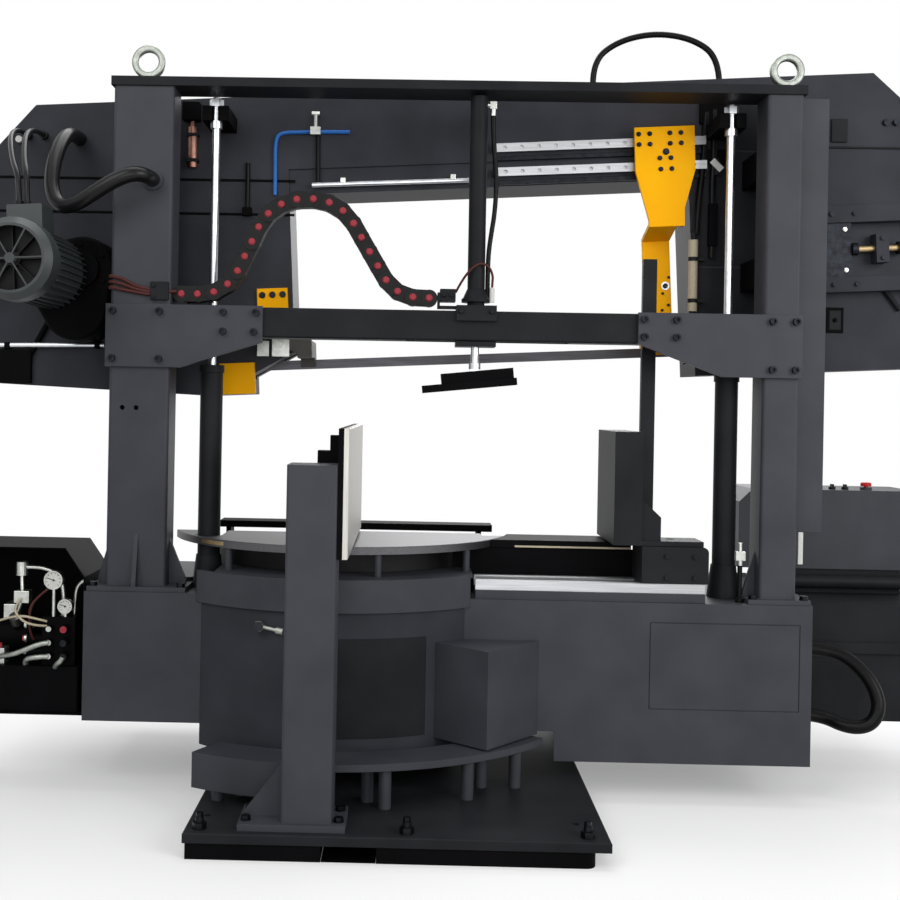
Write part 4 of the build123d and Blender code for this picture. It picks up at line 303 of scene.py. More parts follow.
# Black loom and cable sleeves, with a stronger highlight than the hoses
sleeve = moulded("black_loom_sleeve", "#0d0d0f", "#151517", roughness=0.3)
# Clear blue of the air line
blue_tube = moulded("blue_polyurethane_tube", "#1f5ca8", "#2f72c4", roughness=0.35)
# Beige of the bottle, the strip and the leads
beige_plastic = moulded("beige_plastic", "#b3a88e", "#c6bca4", roughness=0.5)
# Off white of dials, lamp, tag, plug and strip's end
white_plastic = moulded("white_plastic", "#cfcfcb", "#dededa", roughness=0.45)
# Dark red brown of the thin cables
cable_red = moulded("red_brown_cable_sheath", "#3a1a18", "#4f2622", roughness=0.5)

FINISHES = {
    anthracite: (
        "vise_post", "bed_box", "drive_cover", "left_column", "right_column", "gusset_plates", "console",
        "swivel_track",
    ),
    bow_shade_paint: ("bow_frame", "door_left", "door_right", "swivel_drum"),
    ring_paint_and_shade: ("table_ring",),
    # The base plate takes the dark grey as painted shade under the machine
    beam_grey: (
        "crossbeam", "lift_barrels", "vise_carriage", "guide_mast", "base_plate", "top_plate",
        "coolant_tank", "clamp_saddle", "moving_jaw",
    ),
    black_enamel: (
        "base_frame", "base_hub", "clamp_pad", "hydraulic_cabinet", "hydraulic_unit", "gearbox",
        "fixed_jaw", "bow_shoes", "table_rests",
    ),
    yellow_enamel: ("guide_arm",),
    guide_paint: ("guide_left",),
    motor_enamel: ("motor",),
    ground_steel: ("jaw_liner", "drive_wheel", "idler_wheel", "support_roller", "slewing_ring"),
    table_iron: ("table_front",),
    rail_steel: ("vise_rails", "guide_rails", "column_rails"),
    band_steel: ("saw_band",),
    zinc: ("gauges",),
    galvanised: ("eye_bolts", "lock_lever"),
    chrome: ("lift_rods", "clamp_rod"),
    black_oxide: ("base_bolts", "frame_screws", "tension_carrier"),
    black_plastic: ("energy_chain", "knob_left", "knob_right", "motor_fan"),
    red_plastic: ("stop_button",),
}
for material, names in FINISHES.items():
    for name in names:
        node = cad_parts[name]
        node.data.materials.clear()
        node.data.materials.append(material)


# Modelling helpers; sizes are in millimetres and the place matrix brings them to metres

ROUND_SIDES = 20
FINE_SIDES = 32
HEXAGON = 6
SPIN_STEPS = 24


def block(bm, low, high, edge=0, place=WORLD):
    """Box between two corners, with its edges rounded."""
    low, high = Vector(low), Vector(high)
    size = Matrix.Diagonal((*(high - low), 1))
    made = bmesh.ops.create_cube(bm, size=1, matrix=place @ Matrix.Translation((low + high) / 2) @ size)
    if edge:
        edges = {e for v in made["verts"] for e in v.link_edges}
        bmesh.ops.bevel(
            bm, geom=list(edges), offset=edge * MM, segments=2, profile=0.5, affect="EDGES", material=-1
        )


def rod(bm, start, end, radius, sides=ROUND_SIDES, place=WORLD, tip=None, closed=True):
    """Round bar or prism between two points, tapered if it has a tip radius, or an open sleeve."""
    start, end = Vector(start), Vector(end)
    along = end - start
    turn = Vector((0, 0, 1)).rotation_difference(along).to_matrix().to_4x4()
    bmesh.ops.create_cone(
        bm,
        cap_ends=closed,
        segments=sides,
        radius1=radius,
        radius2=radius if tip is None else tip,
        depth=along.length,
        matrix=place @ Matrix.Translation((start + end) / 2) @ turn,
    )


def upright(x, y, start, end, radius):
    """Bar for a group that stands between two heights."""
    return (x, y, start), (x, y, end), radius


def through(x, z, start, end, radius):
    """Bar for a group that runs in depth."""
    return (x, start, z), (x, end, z), radius


def across(y, z, start, end, radius):
    """Bar for a group that runs from side to side."""
    return (start, y, z), (end, y, z), radius


WASHER_HEIGHT = 2
WASHER_SHARE = 0.65


def front_bolt(bm, x, z, face, width, height, place=WORLD):
    """Hexagon head on a washer that looks towards the front."""
    seat = face - WASHER_HEIGHT
    rod(bm, (x, face, z), (x, seat, z), WASHER_SHARE * width, ROUND_SIDES, place)
    rod(bm, (x, seat, z), (x, seat - height, z), width / 2, HEXAGON, place)


def plain_object(bm, name, finish):
    """Turn a mesh into an object with one finish."""
    mesh = bpy.data.meshes.new(name)
    bm.to_mesh(mesh)
    bm.free()
    mesh.materials.append(finish)
    made = bpy.data.objects.new(name, mesh)
    bpy.context.collection.objects.link(made)
    return made


def piece(bm, name, body, finish, smooth=False):
    """Turn a mesh into a piece that moves with a body."""
    made = plain_object(bm, name, finish)
    if smooth:
        made.data.polygons.foreach_set("use_smooth", [True] * len(made.data.polygons))
    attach(made, body)


SOFT_EDGE = 1.5


def group(name, body, finish, boxes=(), bars=(), bolts=(), place=WORLD, edge=SOFT_EDGE):
    """One piece made of boxes, round bars and hexagon heads.
    A box has two corners, a bar two ends and a radius, a head its x, z, seat, width and height."""
    bm = bmesh.new()
    for low, high in boxes:
        block(bm, low, high, edge, place)
    for start, end, radius in bars:
        rod(bm, start, end, radius, ROUND_SIDES, place)
    for x, z, face, width, height in bolts:
        front_bolt(bm, x, z, face, width, height, place)
    piece(bm, name, body, finish)


def curved_plate(name, body, finish, radius, thickness, low, high, start, end):
    """Plate bent round the swivel axis between two angles in degrees."""
    bm = bmesh.new()
    middle = Matrix.Translation((radius + thickness / 2, 0, (low + high) / 2))
    section = middle @ Matrix.Rotation(radians(90), 4, "X")
    size = Matrix.Diagonal((thickness, high - low, 1, 1))
    at = Matrix.Rotation(radians(start), 4, "Z") @ WORLD @ section @ size
    bmesh.ops.create_grid(bm, x_segments=1, y_segments=1, size=0.5, matrix=at)
    bmesh.ops.spin(bm, geom=bm.faces[:], axis=(0, 0, 1), angle=radians(end - start), steps=SPIN_STEPS)
    bmesh.ops.recalc_face_normals(bm, faces=bm.faces[:])
    piece(bm, name, body, finish)


def centre_line(name, points, place=WORLD):
    """Smooth curve with the points as its control points."""
    curve = bpy.data.curves.new(name, "CURVE")
    curve.dimensions = "3D"
    curve.resolution_u = 8
    spline = curve.splines.new("NURBS")
    spline.points.add(len(points) - 1)
    for target, point in zip(spline.points, points):
        target.co = (*(place @ Vector(point)), 1)
    spline.order_u = 3
    spline.use_endpoint_u = True
    made = bpy.data.objects.new(name, curve)
    bpy.context.collection.objects.link(made)
    return made


def tube_mesh(name, points, radius, place=WORLD):
    """Round tube along a smooth curve, as a mesh, with the points that it follows."""
    line = centre_line(name + "_line", points, place)
    path_mesh = bpy.data.meshes.new_from_object(line)
    path = [tuple(v.co) for v in path_mesh.vertices]
    bpy.data.meshes.remove(path_mesh)
    line.data.bevel_depth = radius * MM
    line.data.bevel_resolution = 4
    line.data.use_fill_caps = True
    bpy.context.view_layer.update()
    mesh = bpy.data.meshes.new_from_object(line)
    bpy.data.objects.remove(line)
    return mesh, path


def pipe(name, body, finish, runs, radius, place=WORLD):
    """One piece made of formed pipes, each along its own points."""
    bm = bmesh.new()
    for number, points in enumerate(runs):
        mesh = tube_mesh(f"{name}_{number}", points, radius, place)[0]
        bm.from_mesh(mesh)
        bpy.data.meshes.remove(mesh)
    piece(bm, name, body, finish, smooth=True)


# Hoses that hang between two ends; loom, loop and arch repeat the drawing's routes

LOOM_DIAMETER = 50
loom_points = [
    (-951, BOW_FACE, 2207), (-951, -250, 2207), (-957, -350, 2160), (-962, -430, 2055),
    (-950, -478, 1957), (-908, -505, 1905), (-846, -530, 1917), (-772, -548, 1962),
    (-704, -552, 2000), (-655, -546, 2014), (-622, -512, 2010), (-622, -460, 2010),
]
LOOP_DIAMETER = 46
loop_points = [
    (BED_END, -300, 484), (1640, -300, 484), (1722, -335, 468), (1785, -385, 402), (1808, -415, 322),
    (1778, -425, 258), (1712, -400, 240), (1636, -330, 268), (BED_END, -330, 268),
]
MOTOR_CABLE_DIAMETER = 18
MOTOR_BOX_Y = -580
motor_cables = [
    [(-1134, BOW_FACE, 2216), (-1134, -250, 2216), (-1120, -390, 2170), (-1070, -510, 2060),
     (-1022, MOTOR_BOX_Y, 1985), (-1022, MOTOR_BOX_Y, 1896)],
    [(-1077, BOW_FACE, 2217), (-1077, -250, 2217), (-1068, -390, 2172), (-1032, -510, 2064),
     (-996, MOTOR_BOX_Y, 1985), (-996, MOTOR_BOX_Y, 1896)],
]
ARCH_DIAMETER = 22
ARCH_START = 925
ARCH_SPAN = 450
ARCH_FOOT = 968
ARCH_RISE = 185
ARCH_Y = -90
arch_points = [
    (ARCH_START + ARCH_SPAN * along, ARCH_Y, ARCH_FOOT + ARCH_RISE * up)
    for along, up in ((0, 0), (0, 0.5), (0.2, 0.88), (0.5, 1.02), (0.8, 0.88), (1, 0.5), (1, 0))
]


def hose(name, points, diameter, body, finish=rubber, node=None, second=None, place=WORLD):
    """Hose along its points; it moves with one body, or stays in place where it joins two."""
    mesh, path = tube_mesh(name, points, diameter / 2, place)
    mesh.polygons.foreach_set("use_smooth", [True] * len(mesh.polygons))
    mesh.materials.clear()
    mesh.materials.append(finish)
    made = bpy.data.objects.new(name, mesh)
    bpy.context.collection.objects.link(made)
    if second:
        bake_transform(made)
    else:
        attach(made, body)
    if node:
        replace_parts(made, node)


hose("loom_tube", loom_points, LOOM_DIAMETER, "bow", sleeve, "loom_hose", "saw_bed")
hose("arch_tube", arch_points, ARCH_DIAMETER, "bow", rubber, "arch_hose", place=BOW)
hose("loop_tube", loop_points, LOOP_DIAMETER, "saw_bed", rubber, "loop_hose")


# Energy chain: its links and pins, laid between the column and the clamp

CHAIN_HALF = 28
CHAIN_FACE = -422
CHAIN_REAR = -374
LINK_STEP = 4
LINK_SIDES = 24
PIN_RADIUS = 12
PIN_TIP = 8
PIN_HEIGHT = 4
CHAIN_PITCH = 54
CHAIN_LEVEL = 1639
CHAIN_CROWN = 1961
# Corners of the chain's route seen from the front, and the radius that rounds each inner one
CHAIN_ROUTE = (
    (-528, CHAIN_LEVEL), (-379, CHAIN_LEVEL), (-229, CHAIN_CROWN), (-6, CHAIN_CROWN), (185, CHAIN_LEVEL),
    (296, CHAIN_LEVEL),
)
CHAIN_BENDS = (135, 165, 165, 135)
ARC_STEPS = 32


def bent_line(route, bends):
    """Fine line along straight runs that arcs join."""
    line = [Vector(route[0])]
    for before, corner, after, bend in zip(route, route[1:], route[2:], bends):
        arrive = (Vector(corner) - Vector(before)).normalized()
        turn = arrive.angle_signed(Vector(after) - Vector(corner))
        start = Vector(corner) - arrive * bend * tan(abs(turn) / 2)
        for number in range(ARC_STEPS + 1):
            part = turn * number / ARC_STEPS
            chord = 2 * bend * sin(abs(part) / 2)
            line.append(start + chord * (Matrix.Rotation(-part / 2, 2) @ arrive))
    return line + [Vector(route[-1])]


def even_places(line, pitch):
    """Places about a pitch apart along a line, each to the whole millimetre."""
    reach = list(accumulate(((b - a).length for a, b in zip(line, line[1:])), initial=0))
    count = round(reach[-1] / pitch)
    places = []
    for number in range(count + 1):
        goal = reach[-1] * number / count
        after = min(bisect(reach, goal), len(line) - 1)
        share = (goal - reach[after - 1]) / (reach[after] - reach[after - 1])
        place = line[after - 1].lerp(line[after], share)
        places.append((round(place.x), round(place.y)))
    return places


chain_pins = even_places(bent_line(CHAIN_ROUTE, CHAIN_BENDS), CHAIN_PITCH)


def chain_piece(bm, name, finish):
    """Part of the chain, fixed in place between the column and the clamp."""
    made = plain_object(bm, name, finish)
    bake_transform(made)
    return made


links = bmesh.new()
pins = bmesh.new()
for number, ((x0, z0), (x1, z1)) in enumerate(zip(chain_pins[:-1], chain_pins[1:])):
    along = hypot(x1 - x0, z1 - z0)
    at = WORLD @ Matrix.Translation((x0, 0, z0)) @ Matrix.Rotation(-atan2(z1 - z0, x1 - x0), 4, "Y")
    step = LINK_STEP * (number % 2)
    front, rear = CHAIN_FACE + step, CHAIN_REAR - step
    block(links, (0, front + 1, 1 - CHAIN_HALF), (along, rear - 1, CHAIN_HALF - 1), 2, at)
    rod(links, (0, front, 0), (0, rear, 0), CHAIN_HALF, LINK_SIDES, at)
last_x, last_z = chain_pins[-1]
rod(links, (last_x, CHAIN_FACE, last_z), (last_x, CHAIN_REAR, last_z), CHAIN_HALF)
for x, z in chain_pins:
    for face, top in ((CHAIN_FACE, CHAIN_FACE - PIN_HEIGHT), (CHAIN_REAR, CHAIN_REAR + PIN_HEIGHT)):
        rod(pins, (x, face, z), (x, top, z), PIN_RADIUS, tip=PIN_TIP)
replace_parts(chain_piece(links, "chain_links", black_plastic), "energy_chain")
chain_piece(pins, "chain_pins", pin_red)

# Cables from the chain round the left column, under a saddle
pipe(
    "column_cables",
    "saw_bed",
    cable_red,
    [
        [(-545, -428, 1645), (-570, -456, 1643), (-622, -457, 1640 + rise),
         (-668, -457, 1648 + rise), (-712, -456, 1664 + 2 * rise), (-748, -455, 1672 + 2 * rise),
         (-763, -446, 1673 + 2 * rise), (-763, -400, 1673 + 2 * rise)]
        for rise in (-9, 0, 9)
    ],
    radius=6,
)
SADDLE_FACE = -466
group(
    "cable_saddle",
    "saw_bed",
    beam_grey,
    boxes=[((-622, SADDLE_FACE, 1614), (-562, COLUMN_FACE, 1674))],
    bolts=[(-610, z, SADDLE_FACE, 13, 5) for z in (1626, 1662)],
)

# Clamp: elbow and hose, cable with its plug, block at the chain's end, collar of the cylinder
CLAMP_TUBE = 29
group(
    "clamp_fittings",
    "clamp_carriage",
    zinc,
    boxes=[((488, CLAMP_Y - 9, 2272), (510, CLAMP_Y + 9, 2298))],
    bars=[across(CLAMP_Y, 2286, 478, 490, 8), upright(499, CLAMP_Y, 2272, 2250, 9)],
)
CLAMP_HOSE_DIAMETER = 16
clamp_hose_points = [
    (x, CLAMP_Y, z)
    for x, z in ((499, 2254), (499, 2212), (505, 2130), (514, 2034), (510, 1930), (498, 1850), (491, 1790),
                 (490, 1720), (490, 1668), (490, 1640))
]
hose("clamp_hose", clamp_hose_points, CLAMP_HOSE_DIAMETER, "clamp_carriage")
CLAMP_CABLE_DIAMETER = 8
clamp_cable_points = [
    (384, -410, 1660), (400, -424, 1692), (428, -436, 1732), (462, -438, 1757), (492, -432, 1746),
    (506, -424, 1716), (504, -420, 1690), (504, -420, 1660),
]
hose(
    "clamp_cable",
    clamp_cable_points,
    CLAMP_CABLE_DIAMETER,
    "clamp_carriage",
    cable_red,
)
group(
    "cable_plug",
    "clamp_carriage",
    white_plastic,
    bars=[upright(504, -420, 1628, 1676, 8)],
)
group(
    "chain_block",
    "clamp_carriage",
    beam_grey,
    boxes=[((332, -426, 1628), (384, -370, 1670))],
    bolts=[(x, 1649, -426, 12, 5) for x in (346, 370)],
)
collar = bmesh.new()
COLLAR_TOP = 1640
rod(collar, (CLAMP_X, CLAMP_Y, 1628), (CLAMP_X, CLAMP_Y, COLLAR_TOP), 48, FINE_SIDES)
rod(collar, (CLAMP_X, CLAMP_Y, COLLAR_TOP), (CLAMP_X, CLAMP_Y, 1672), 44, FINE_SIDES, tip=CLAMP_TUBE + 1)
for x in (402, 502):
    front_bolt(collar, x, 1594, -465, 16, 7)
piece(collar, "clamp_collar", "clamp_carriage", beam_grey)

# Front of the bow: air line and valve, drain pipes, rod with clips, valve box with its cylinder
AIR_LINE_RADIUS = 7
pipe(
    "air_line",
    "bow",
    blue_tube,
    [[
        (x, BOW_FACE - AIR_LINE_RADIUS, z)
        for x, z in ((-252, 2017), (-253, 2120), (-255, 2205), (-240, 2238), (-167, 2241), (-112, 2243),
                     (9, 2244))
    ]],
    radius=AIR_LINE_RADIUS,
)
AIR_VALVE_X = -112
AIR_VALVE_Y = -166
group(
    "air_valve",
    "bow",
    zinc,
    boxes=[((AIR_VALVE_X - 18, -178, 2230), (AIR_VALVE_X + 18, BOW_FACE, 2258))],
    bars=[
        upright(AIR_VALVE_X, AIR_VALVE_Y, 2256, 2300, 7),
        across(AIR_VALVE_Y, 2306, AIR_VALVE_X - 14, AIR_VALVE_X + 14, 7),
    ],
)
pipe("drain_pipes", "bow", rubber, [
    [(-103, -158, 2240), (-102, -158, 2150), (-101, -156, 2065)],
    [(-350, -158, 2129), (-349, -158, 2040), (-350, -158, 1966)],
], radius=8)
group(
    "front_rod",
    "bow",
    chrome,
    bars=[((-121, -162, 2054), (432, -162, 2080), 8.5)],
)
group(
    "rod_clips",
    "bow",
    zinc,
    boxes=[((x - 9, -172, z), (x + 9, -140, z + 20)) for x, z in ((-12, 2061), (376, 2079))],
)
group(
    "valve_box",
    "bow",
    black_enamel,
    boxes=[((-581, -192, 2271), (-519, BOW_FACE, 2338))],
    edge=4,
)
CYLINDER_X = -545
CYLINDER_Y = -168
CYLINDER_TOP = 2250
group(
    "valve_cylinder",
    "bow",
    copper,
    bars=[
        upright(CYLINDER_X, CYLINDER_Y, 2108, CYLINDER_TOP, 17),
        upright(CYLINDER_X, CYLINDER_Y, CYLINDER_TOP, 2272, 9),
    ],
)
group(
    "cylinder_straps",
    "bow",
    black_oxide,
    boxes=[((CYLINDER_X - 21, -188, z), (CYLINDER_X + 21, BOW_FACE, z + 12)) for z in (2126, 2216)],
)

# Rails of the guide arm: dark bars under the ground rails, with their end stops
group(
    "rail_bars",
    "bow",
    black_oxide,
    boxes=[((565, -166, w), (1300, BOW_FACE, w + 16)) for w in (620, 705)]
    + [((552, -174, w - 14), (562, BOW_FACE, w + 14)) for w in (664, 749)],
    place=BOW,
)

# Left housing: panel edges, tube, struts, lamp, and the motor's cables with their glands
group(
    "left_panel_edges",
    "bow",
    black_enamel,
    boxes=[
        ((-1285, -153, 2064), (-182, BOW_FACE, 2073)),
        ((-1285, -153, 1944), (-182, BOW_FACE, 1953)),
        ((-366, -170, 1942), (-334, BOW_FACE, 1972)),
    ],
)
group(
    "left_tube",
    "bow",
    chrome,
    bars=[((-1220, -166, 1469), (-846, -166, 1476), 9)],
)
group(
    "left_struts",
    "bow",
    black_enamel,
    boxes=[
        ((-1220, -173, 1335), (-1105, BOW_FACE, 1455)),
        ((-1200, -178, 1456), (-1180, BOW_FACE, 1480)),
        ((-880, -178, 1462), (-860, BOW_FACE, 1488)),
    ],
    bars=[((-1026, -160, 1597), (-1112, -160, 1436), 10)],
    edge=3,
)
group(
    "left_lamp",
    "bow",
    white_plastic,
    bars=[through(-1165, 2201, BOW_FACE, -166, 12)],
)
for number, points in enumerate(motor_cables):
    hose(f"motor_cable_{number}", points, MOTOR_CABLE_DIAMETER, "bow", sleeve)
group(
    "cable_glands",
    "bow",
    black_plastic,
    bars=[through(run[0][0], run[0][2], BOW_FACE, BOW_FACE - 18, 15) for run in motor_cables]
    + [upright(run[-1][0], MOTOR_BOX_Y, 1890, 1912, 12.5) for run in motor_cables],
)

# Right housing: pad and lip, recess, tension screw, screws, coolant bottle, and dark leg plates that are
# painted shade
group(
    "right_fittings",
    "bow",
    beam_grey,
    boxes=[
        ((1701, -158, 2234), (1758, BOW_FACE, 2317)),
        ((1640, -156, 2213), (2100, BOW_FACE, 2221)),
        ((1705, -155, 1574), (1748, BOW_FACE, 1644)),
    ],
    bars=[((1897, -160, 1717), (1950, -160, 1648), 9)],
    edge=3,
)
group(
    "recess_rim",
    "bow",
    black_enamel,
    boxes=[((1696, -153, 1564), (1757, BOW_FACE, 1654))],
    bolts=[(1726, 1609, -155, 12, 4)],
    edge=1,
)
group(
    "tension_screw",
    "tensioner",
    brass,
    bars=[across(-180, SCREW_W, 1811, 2059, 11.2)],
    place=BOW,
)
group(
    "carrier_screws",
    "tensioner",
    zinc,
    bolts=[(1768, w, -186.5, 12, 5) for w in (275, 417)],
    place=BOW,
)
group(
    "right_screws",
    "bow",
    black_oxide,
    bolts=[(1893, 2306, BOW_FACE, 22, 9), (1928, 2307, BOW_FACE, 22, 9)],
)
group(
    "bar_screws",
    "bow",
    black_oxide,
    bolts=[(u, w, -196, 16, 6) for u in (1720, 1800, 1990, 2080) for w in (224, 470)],
    place=BOW,
)
BOTTLE_X = 1222
BOTTLE_Y = -172
BOTTLE_LOW = 1630
BOTTLE_TOP = 1880
NECK_LENGTH = 24
STRAP_HEIGHTS = (1660, 1806)
STRAP_WIDTH = 14
group(
    "coolant_bottle",
    "bow",
    beige_plastic,
    bars=[upright(BOTTLE_X, BOTTLE_Y, BOTTLE_LOW, BOTTLE_TOP, 16)],
)
group(
    "bottle_straps",
    "bow",
    black_plastic,
    boxes=[((BOTTLE_X, -178, z), (1262, BOW_FACE, z + STRAP_WIDTH)) for z in STRAP_HEIGHTS],
    bars=[upright(BOTTLE_X, BOTTLE_Y, z, z + STRAP_WIDTH, 17.5) for z in STRAP_HEIGHTS]
    + [
        upright(BOTTLE_X, BOTTLE_Y, BOTTLE_TOP, BOTTLE_TOP + NECK_LENGTH, 10),
        upright(BOTTLE_X, BOTTLE_Y, BOTTLE_LOW - NECK_LENGTH, BOTTLE_LOW, 10),
    ],
)
# Dark plates on the leg's face beside the arm: painted shade
group(
    "leg_shade_plates",
    "bow",
    beam_grey,
    boxes=[((1246, -152, low), (1470, BOW_FACE, high))
           for low, high in ((1440, 1585), (1592, 1786), (1793, 2196), (2203, 2372))],
    edge=0,
)

# Yellow guide arm: screws of its plate and of its lower end
ARM_PAIRS = ((1016, 2239), (1018, 2203), (1124, 2245), (1126, 2209), (1091, 2157), (1095, 2119))
ARM_PAIR_STEP = (38, 2)
ARM_LOW_SCREWS = [(1157, 1758), (1137, 1700), (1158, 1659), (1136, 1640)]
ARM_WASHER_X = 1145
ARM_WASHER_Z = 1727
ARM_WASHER_FACE = ARM_LOW_FACE - 3
group(
    "arm_screws",
    "arm",
    black_oxide,
    bolts=[
        (x + right, z + up, ARM_FACE, 13, 6) for x, z in ARM_PAIRS for right, up in ((0, 0), ARM_PAIR_STEP)
    ]
    + [(1112, 2180, ARM_FACE, 18, 5)]
    + [(x, z, ARM_LOW_FACE, 8, 4) for x, z in ARM_LOW_SCREWS]
    + [(ARM_WASHER_X, ARM_WASHER_Z, ARM_WASHER_FACE, 14, 5)],
)
group(
    "arm_washer",
    "arm",
    zinc,
    bars=[through(ARM_WASHER_X, ARM_WASHER_Z, ARM_LOW_FACE, ARM_WASHER_FACE, 15)],
)

# Right leg of the bow: coolant lines, brackets and a blank tag on its holder; the black lines and brackets
# are partly painted shade behind the arm
pipe("arm_hoses", "bow", rubber, [
    [(1262, -162, 2330), (1258, -162, 2240), (1250, -164, 2120), (1238, -164, 2000),
     (1234, -162, 1900)],
    [(1290, -161, 2340), (1292, -161, 2200), (1286, -161, 2060), (1290, -161, 1930),
     (1288, -161, 1820)],
], radius=11)
# Black brackets: real parts that also paint the shade behind the arm
group(
    "leg_brackets_and_shade",
    "bow",
    black_enamel,
    boxes=[
        ((1238, -170, 2290), (1345, BOW_FACE, 2372)),
        ((1250, -168, 2150), (1330, BOW_FACE, 2200)),
        ((1275, -176, 1860), (1305, BOW_FACE, 2010)),
    ],
    edge=3,
)
TAG_REAR = -171
TAG_PLACE = WORLD @ Matrix.Translation((1299, 0, 2144)) @ Matrix.Rotation(radians(-45), 4, "Y")
group(
    "plain_tag",
    "bow",
    white_plastic,
    boxes=[((-11, TAG_REAR - 3, -24), (11, TAG_REAR, 24))],
    place=TAG_PLACE,
    edge=0,
)
group(
    "tag_holder",
    "bow",
    black_oxide,
    boxes=[((1292, TAG_REAR, 2110), (1306, BOW_FACE, 2170))],
    edge=1,
)

# Fixed guide at the left: steel holder with its screws
GUIDE_FACE = -164
group(
    "guide_holder",
    "bow",
    zinc,
    boxes=[
        ((-304, -174, 1446), (-262, GUIDE_FACE, 1500)),
        ((-252, -172, 1446), (-190, GUIDE_FACE, 1510)),
    ],
    bars=[through(-226, 1490, -172, -194, 15)],
    bolts=[(-283, 1487, -174, 18, 8)],
)
group(
    "guide_screws",
    "bow",
    black_oxide,
    bolts=[(x, z, GUIDE_FACE, 18, 7) for x, z in ((-290, 1662), (-254, 1664), (-218, 1666))],
)

# Round front of the bed: cover plate on the drum, scale on the table's rim, strip on the side rest
curved_plate(
    "drum_cover",
    "saw_bed",
    beam_grey,
    radius=DRUM_RADIUS,
    thickness=2,
    low=236,
    high=548,
    start=-87.3,
    end=-62.1,
)
curved_plate(
    "scale_strip",
    "saw_bed",
    brass,
    radius=TABLE_RADIUS,
    thickness=2,
    low=812,
    high=824,
    start=-138,
    end=-127,
)
group(
    "rest_strip",
    "saw_bed",
    beige_plastic,
    boxes=[((605, -302, 806), (1000, -300, 812))],
    edge=0,
)

# Black sheet on the floor of the fork pocket under the base plate: painted shade
group(
    "fork_pocket_shade",
    "base",
    black_enamel,
    boxes=[((13, -1044, 0.5), (167, 412, 2.5))],
    edge=0,
)

# On the bed: valve on its pipe, end of the panel, strip's end, feet of the barrels, hose nuts
VALVE_X = 1334
VALVE_Y = -430
VALVE_LOW = 792
VALVE_TOP = 822
PIPE_TOP = 776
group(
    "bed_valve",
    "saw_bed",
    zinc,
    boxes=[((VALVE_X - 16, VALVE_Y - 10, VALVE_LOW), (VALVE_X + 16, VALVE_Y + 10, VALVE_TOP))],
    bars=[upright(VALVE_X, VALVE_Y, VALVE_TOP, 850, 7), upright(VALVE_X, VALVE_Y, PIPE_TOP, VALVE_LOW, 9)],
)
group(
    "valve_pipe",
    "saw_bed",
    rubber,
    bars=[upright(VALVE_X, VALVE_Y, BED_TOP, PIPE_TOP, 8), upright(VALVE_X, VALVE_Y, BED_TOP, 668, 15)],
)
group(
    "panel_end",
    "saw_bed",
    black_enamel,
    boxes=[((982, -293, BED_TOP), (1062, -283, 804))],
    edge=1,
)
group(
    "strip_end",
    "saw_bed",
    white_plastic,
    boxes=[((1532, -404, 780), (1548, -396, 886))],
    edge=1,
)
BARREL_Y = -320
FOOT_WALL = 3
feet = bmesh.new()
for x in (-437, 1308):
    rod(feet, (x, BARREL_Y, BED_TOP), (x, BARREL_Y, 764), 54, FINE_SIDES, tip=42, closed=False)
bmesh.ops.solidify(feet, geom=feet.faces[:], thickness=FOOT_WALL * MM)
bmesh.ops.recalc_face_normals(feet, faces=feet.faces[:])
piece(feet, "barrel_feet", "saw_bed", beam_grey)
group(
    "hose_nuts",
    "saw_bed",
    black_oxide,
    bars=[across(y, z, x, x + 28, 33) for x, y, z in (loop_points[0], loop_points[-1])],
)

# Hydraulic unit: gauge dials with marks and needle, fittings, caps, plugs, pipes, hoses and wires
DIAL_FACE = -442
DIAL_MARKS = 10
DIAL_START = -45
DIAL_STEP = 30
MARK_OUTER = 0.93
MARK_INNER = 0.74
NEEDLE_TURN = 20
NEEDLE_POINT = 0.8
NEEDLE_TAIL = 0.25
PORT_HEIGHTS = (435, 480, 525)
PORT_X = -885
PORT_FACE = -472
PORT_END = -478
SIDE_PORT_Y = -401
SIDE_PORT_END = -1034
for name, x, z, radius in (("large", -930, 682, 27), ("small", -890, 596, 20)):
    dial = bmesh.new()
    rod(dial, (x, DIAL_FACE, z), (x, DIAL_FACE - 1, z), radius, FINE_SIDES)
    piece(dial, f"{name}_dial", "saw_bed", white_plastic)
    marks = bmesh.new()
    for number in range(DIAL_MARKS):
        turn = Matrix.Rotation(radians(DIAL_START + DIAL_STEP * number), 4, "Y")
        at = WORLD @ Matrix.Translation((x, DIAL_FACE - 1, z)) @ turn
        block(marks, (-MARK_OUTER * radius, -0.4, -0.7), (-MARK_INNER * radius, 0.4, 0.7), 0, at)
    turn = Matrix.Rotation(radians(NEEDLE_TURN), 4, "Y")
    at = WORLD @ Matrix.Translation((x, DIAL_FACE - 1.2, z)) @ turn
    block(marks, (-NEEDLE_POINT * radius, -0.5, -1), (NEEDLE_TAIL * radius, 0.5, 1), 0, at)
    rod(marks, (x, DIAL_FACE - 1, z), (x, DIAL_FACE - 2.5, z), 3, 16)
    piece(marks, f"{name}_dial_marks", "saw_bed", black_plastic)
group(
    "hydraulic_fittings",
    "saw_bed",
    zinc,
    bars=[through(-935, z, -466, PORT_FACE, 9) for z in PORT_HEIGHTS]
    + [across(SIDE_PORT_Y, z, -1025, SIDE_PORT_END, 13) for z in PORT_HEIGHTS]
    + [
        upright(-1050, -395, 690, 735, 20),
        upright(-905, -400, 560, 578, 13),
        ((-1079, -350, 520), (-1079, -372, 548), 20),
    ],
    boxes=[
        ((-1068, -420, 600), (-1018, -380, 640)),
        ((-1132, -330, 532), (-1090, -250, 580)),
        ((-1150, -440, 400), (-1090, -390, 452)),
    ],
)
group(
    "hydraulic_caps",
    "saw_bed",
    pin_red,
    bars=[
        across(SIDE_PORT_Y, PORT_HEIGHTS[1], SIDE_PORT_END, SIDE_PORT_END - 6, 11),
        upright(-1118, -415, 452, 464, 12),
        through(PORT_X, PORT_HEIGHTS[2], PORT_FACE, PORT_END, 11),
    ],
)
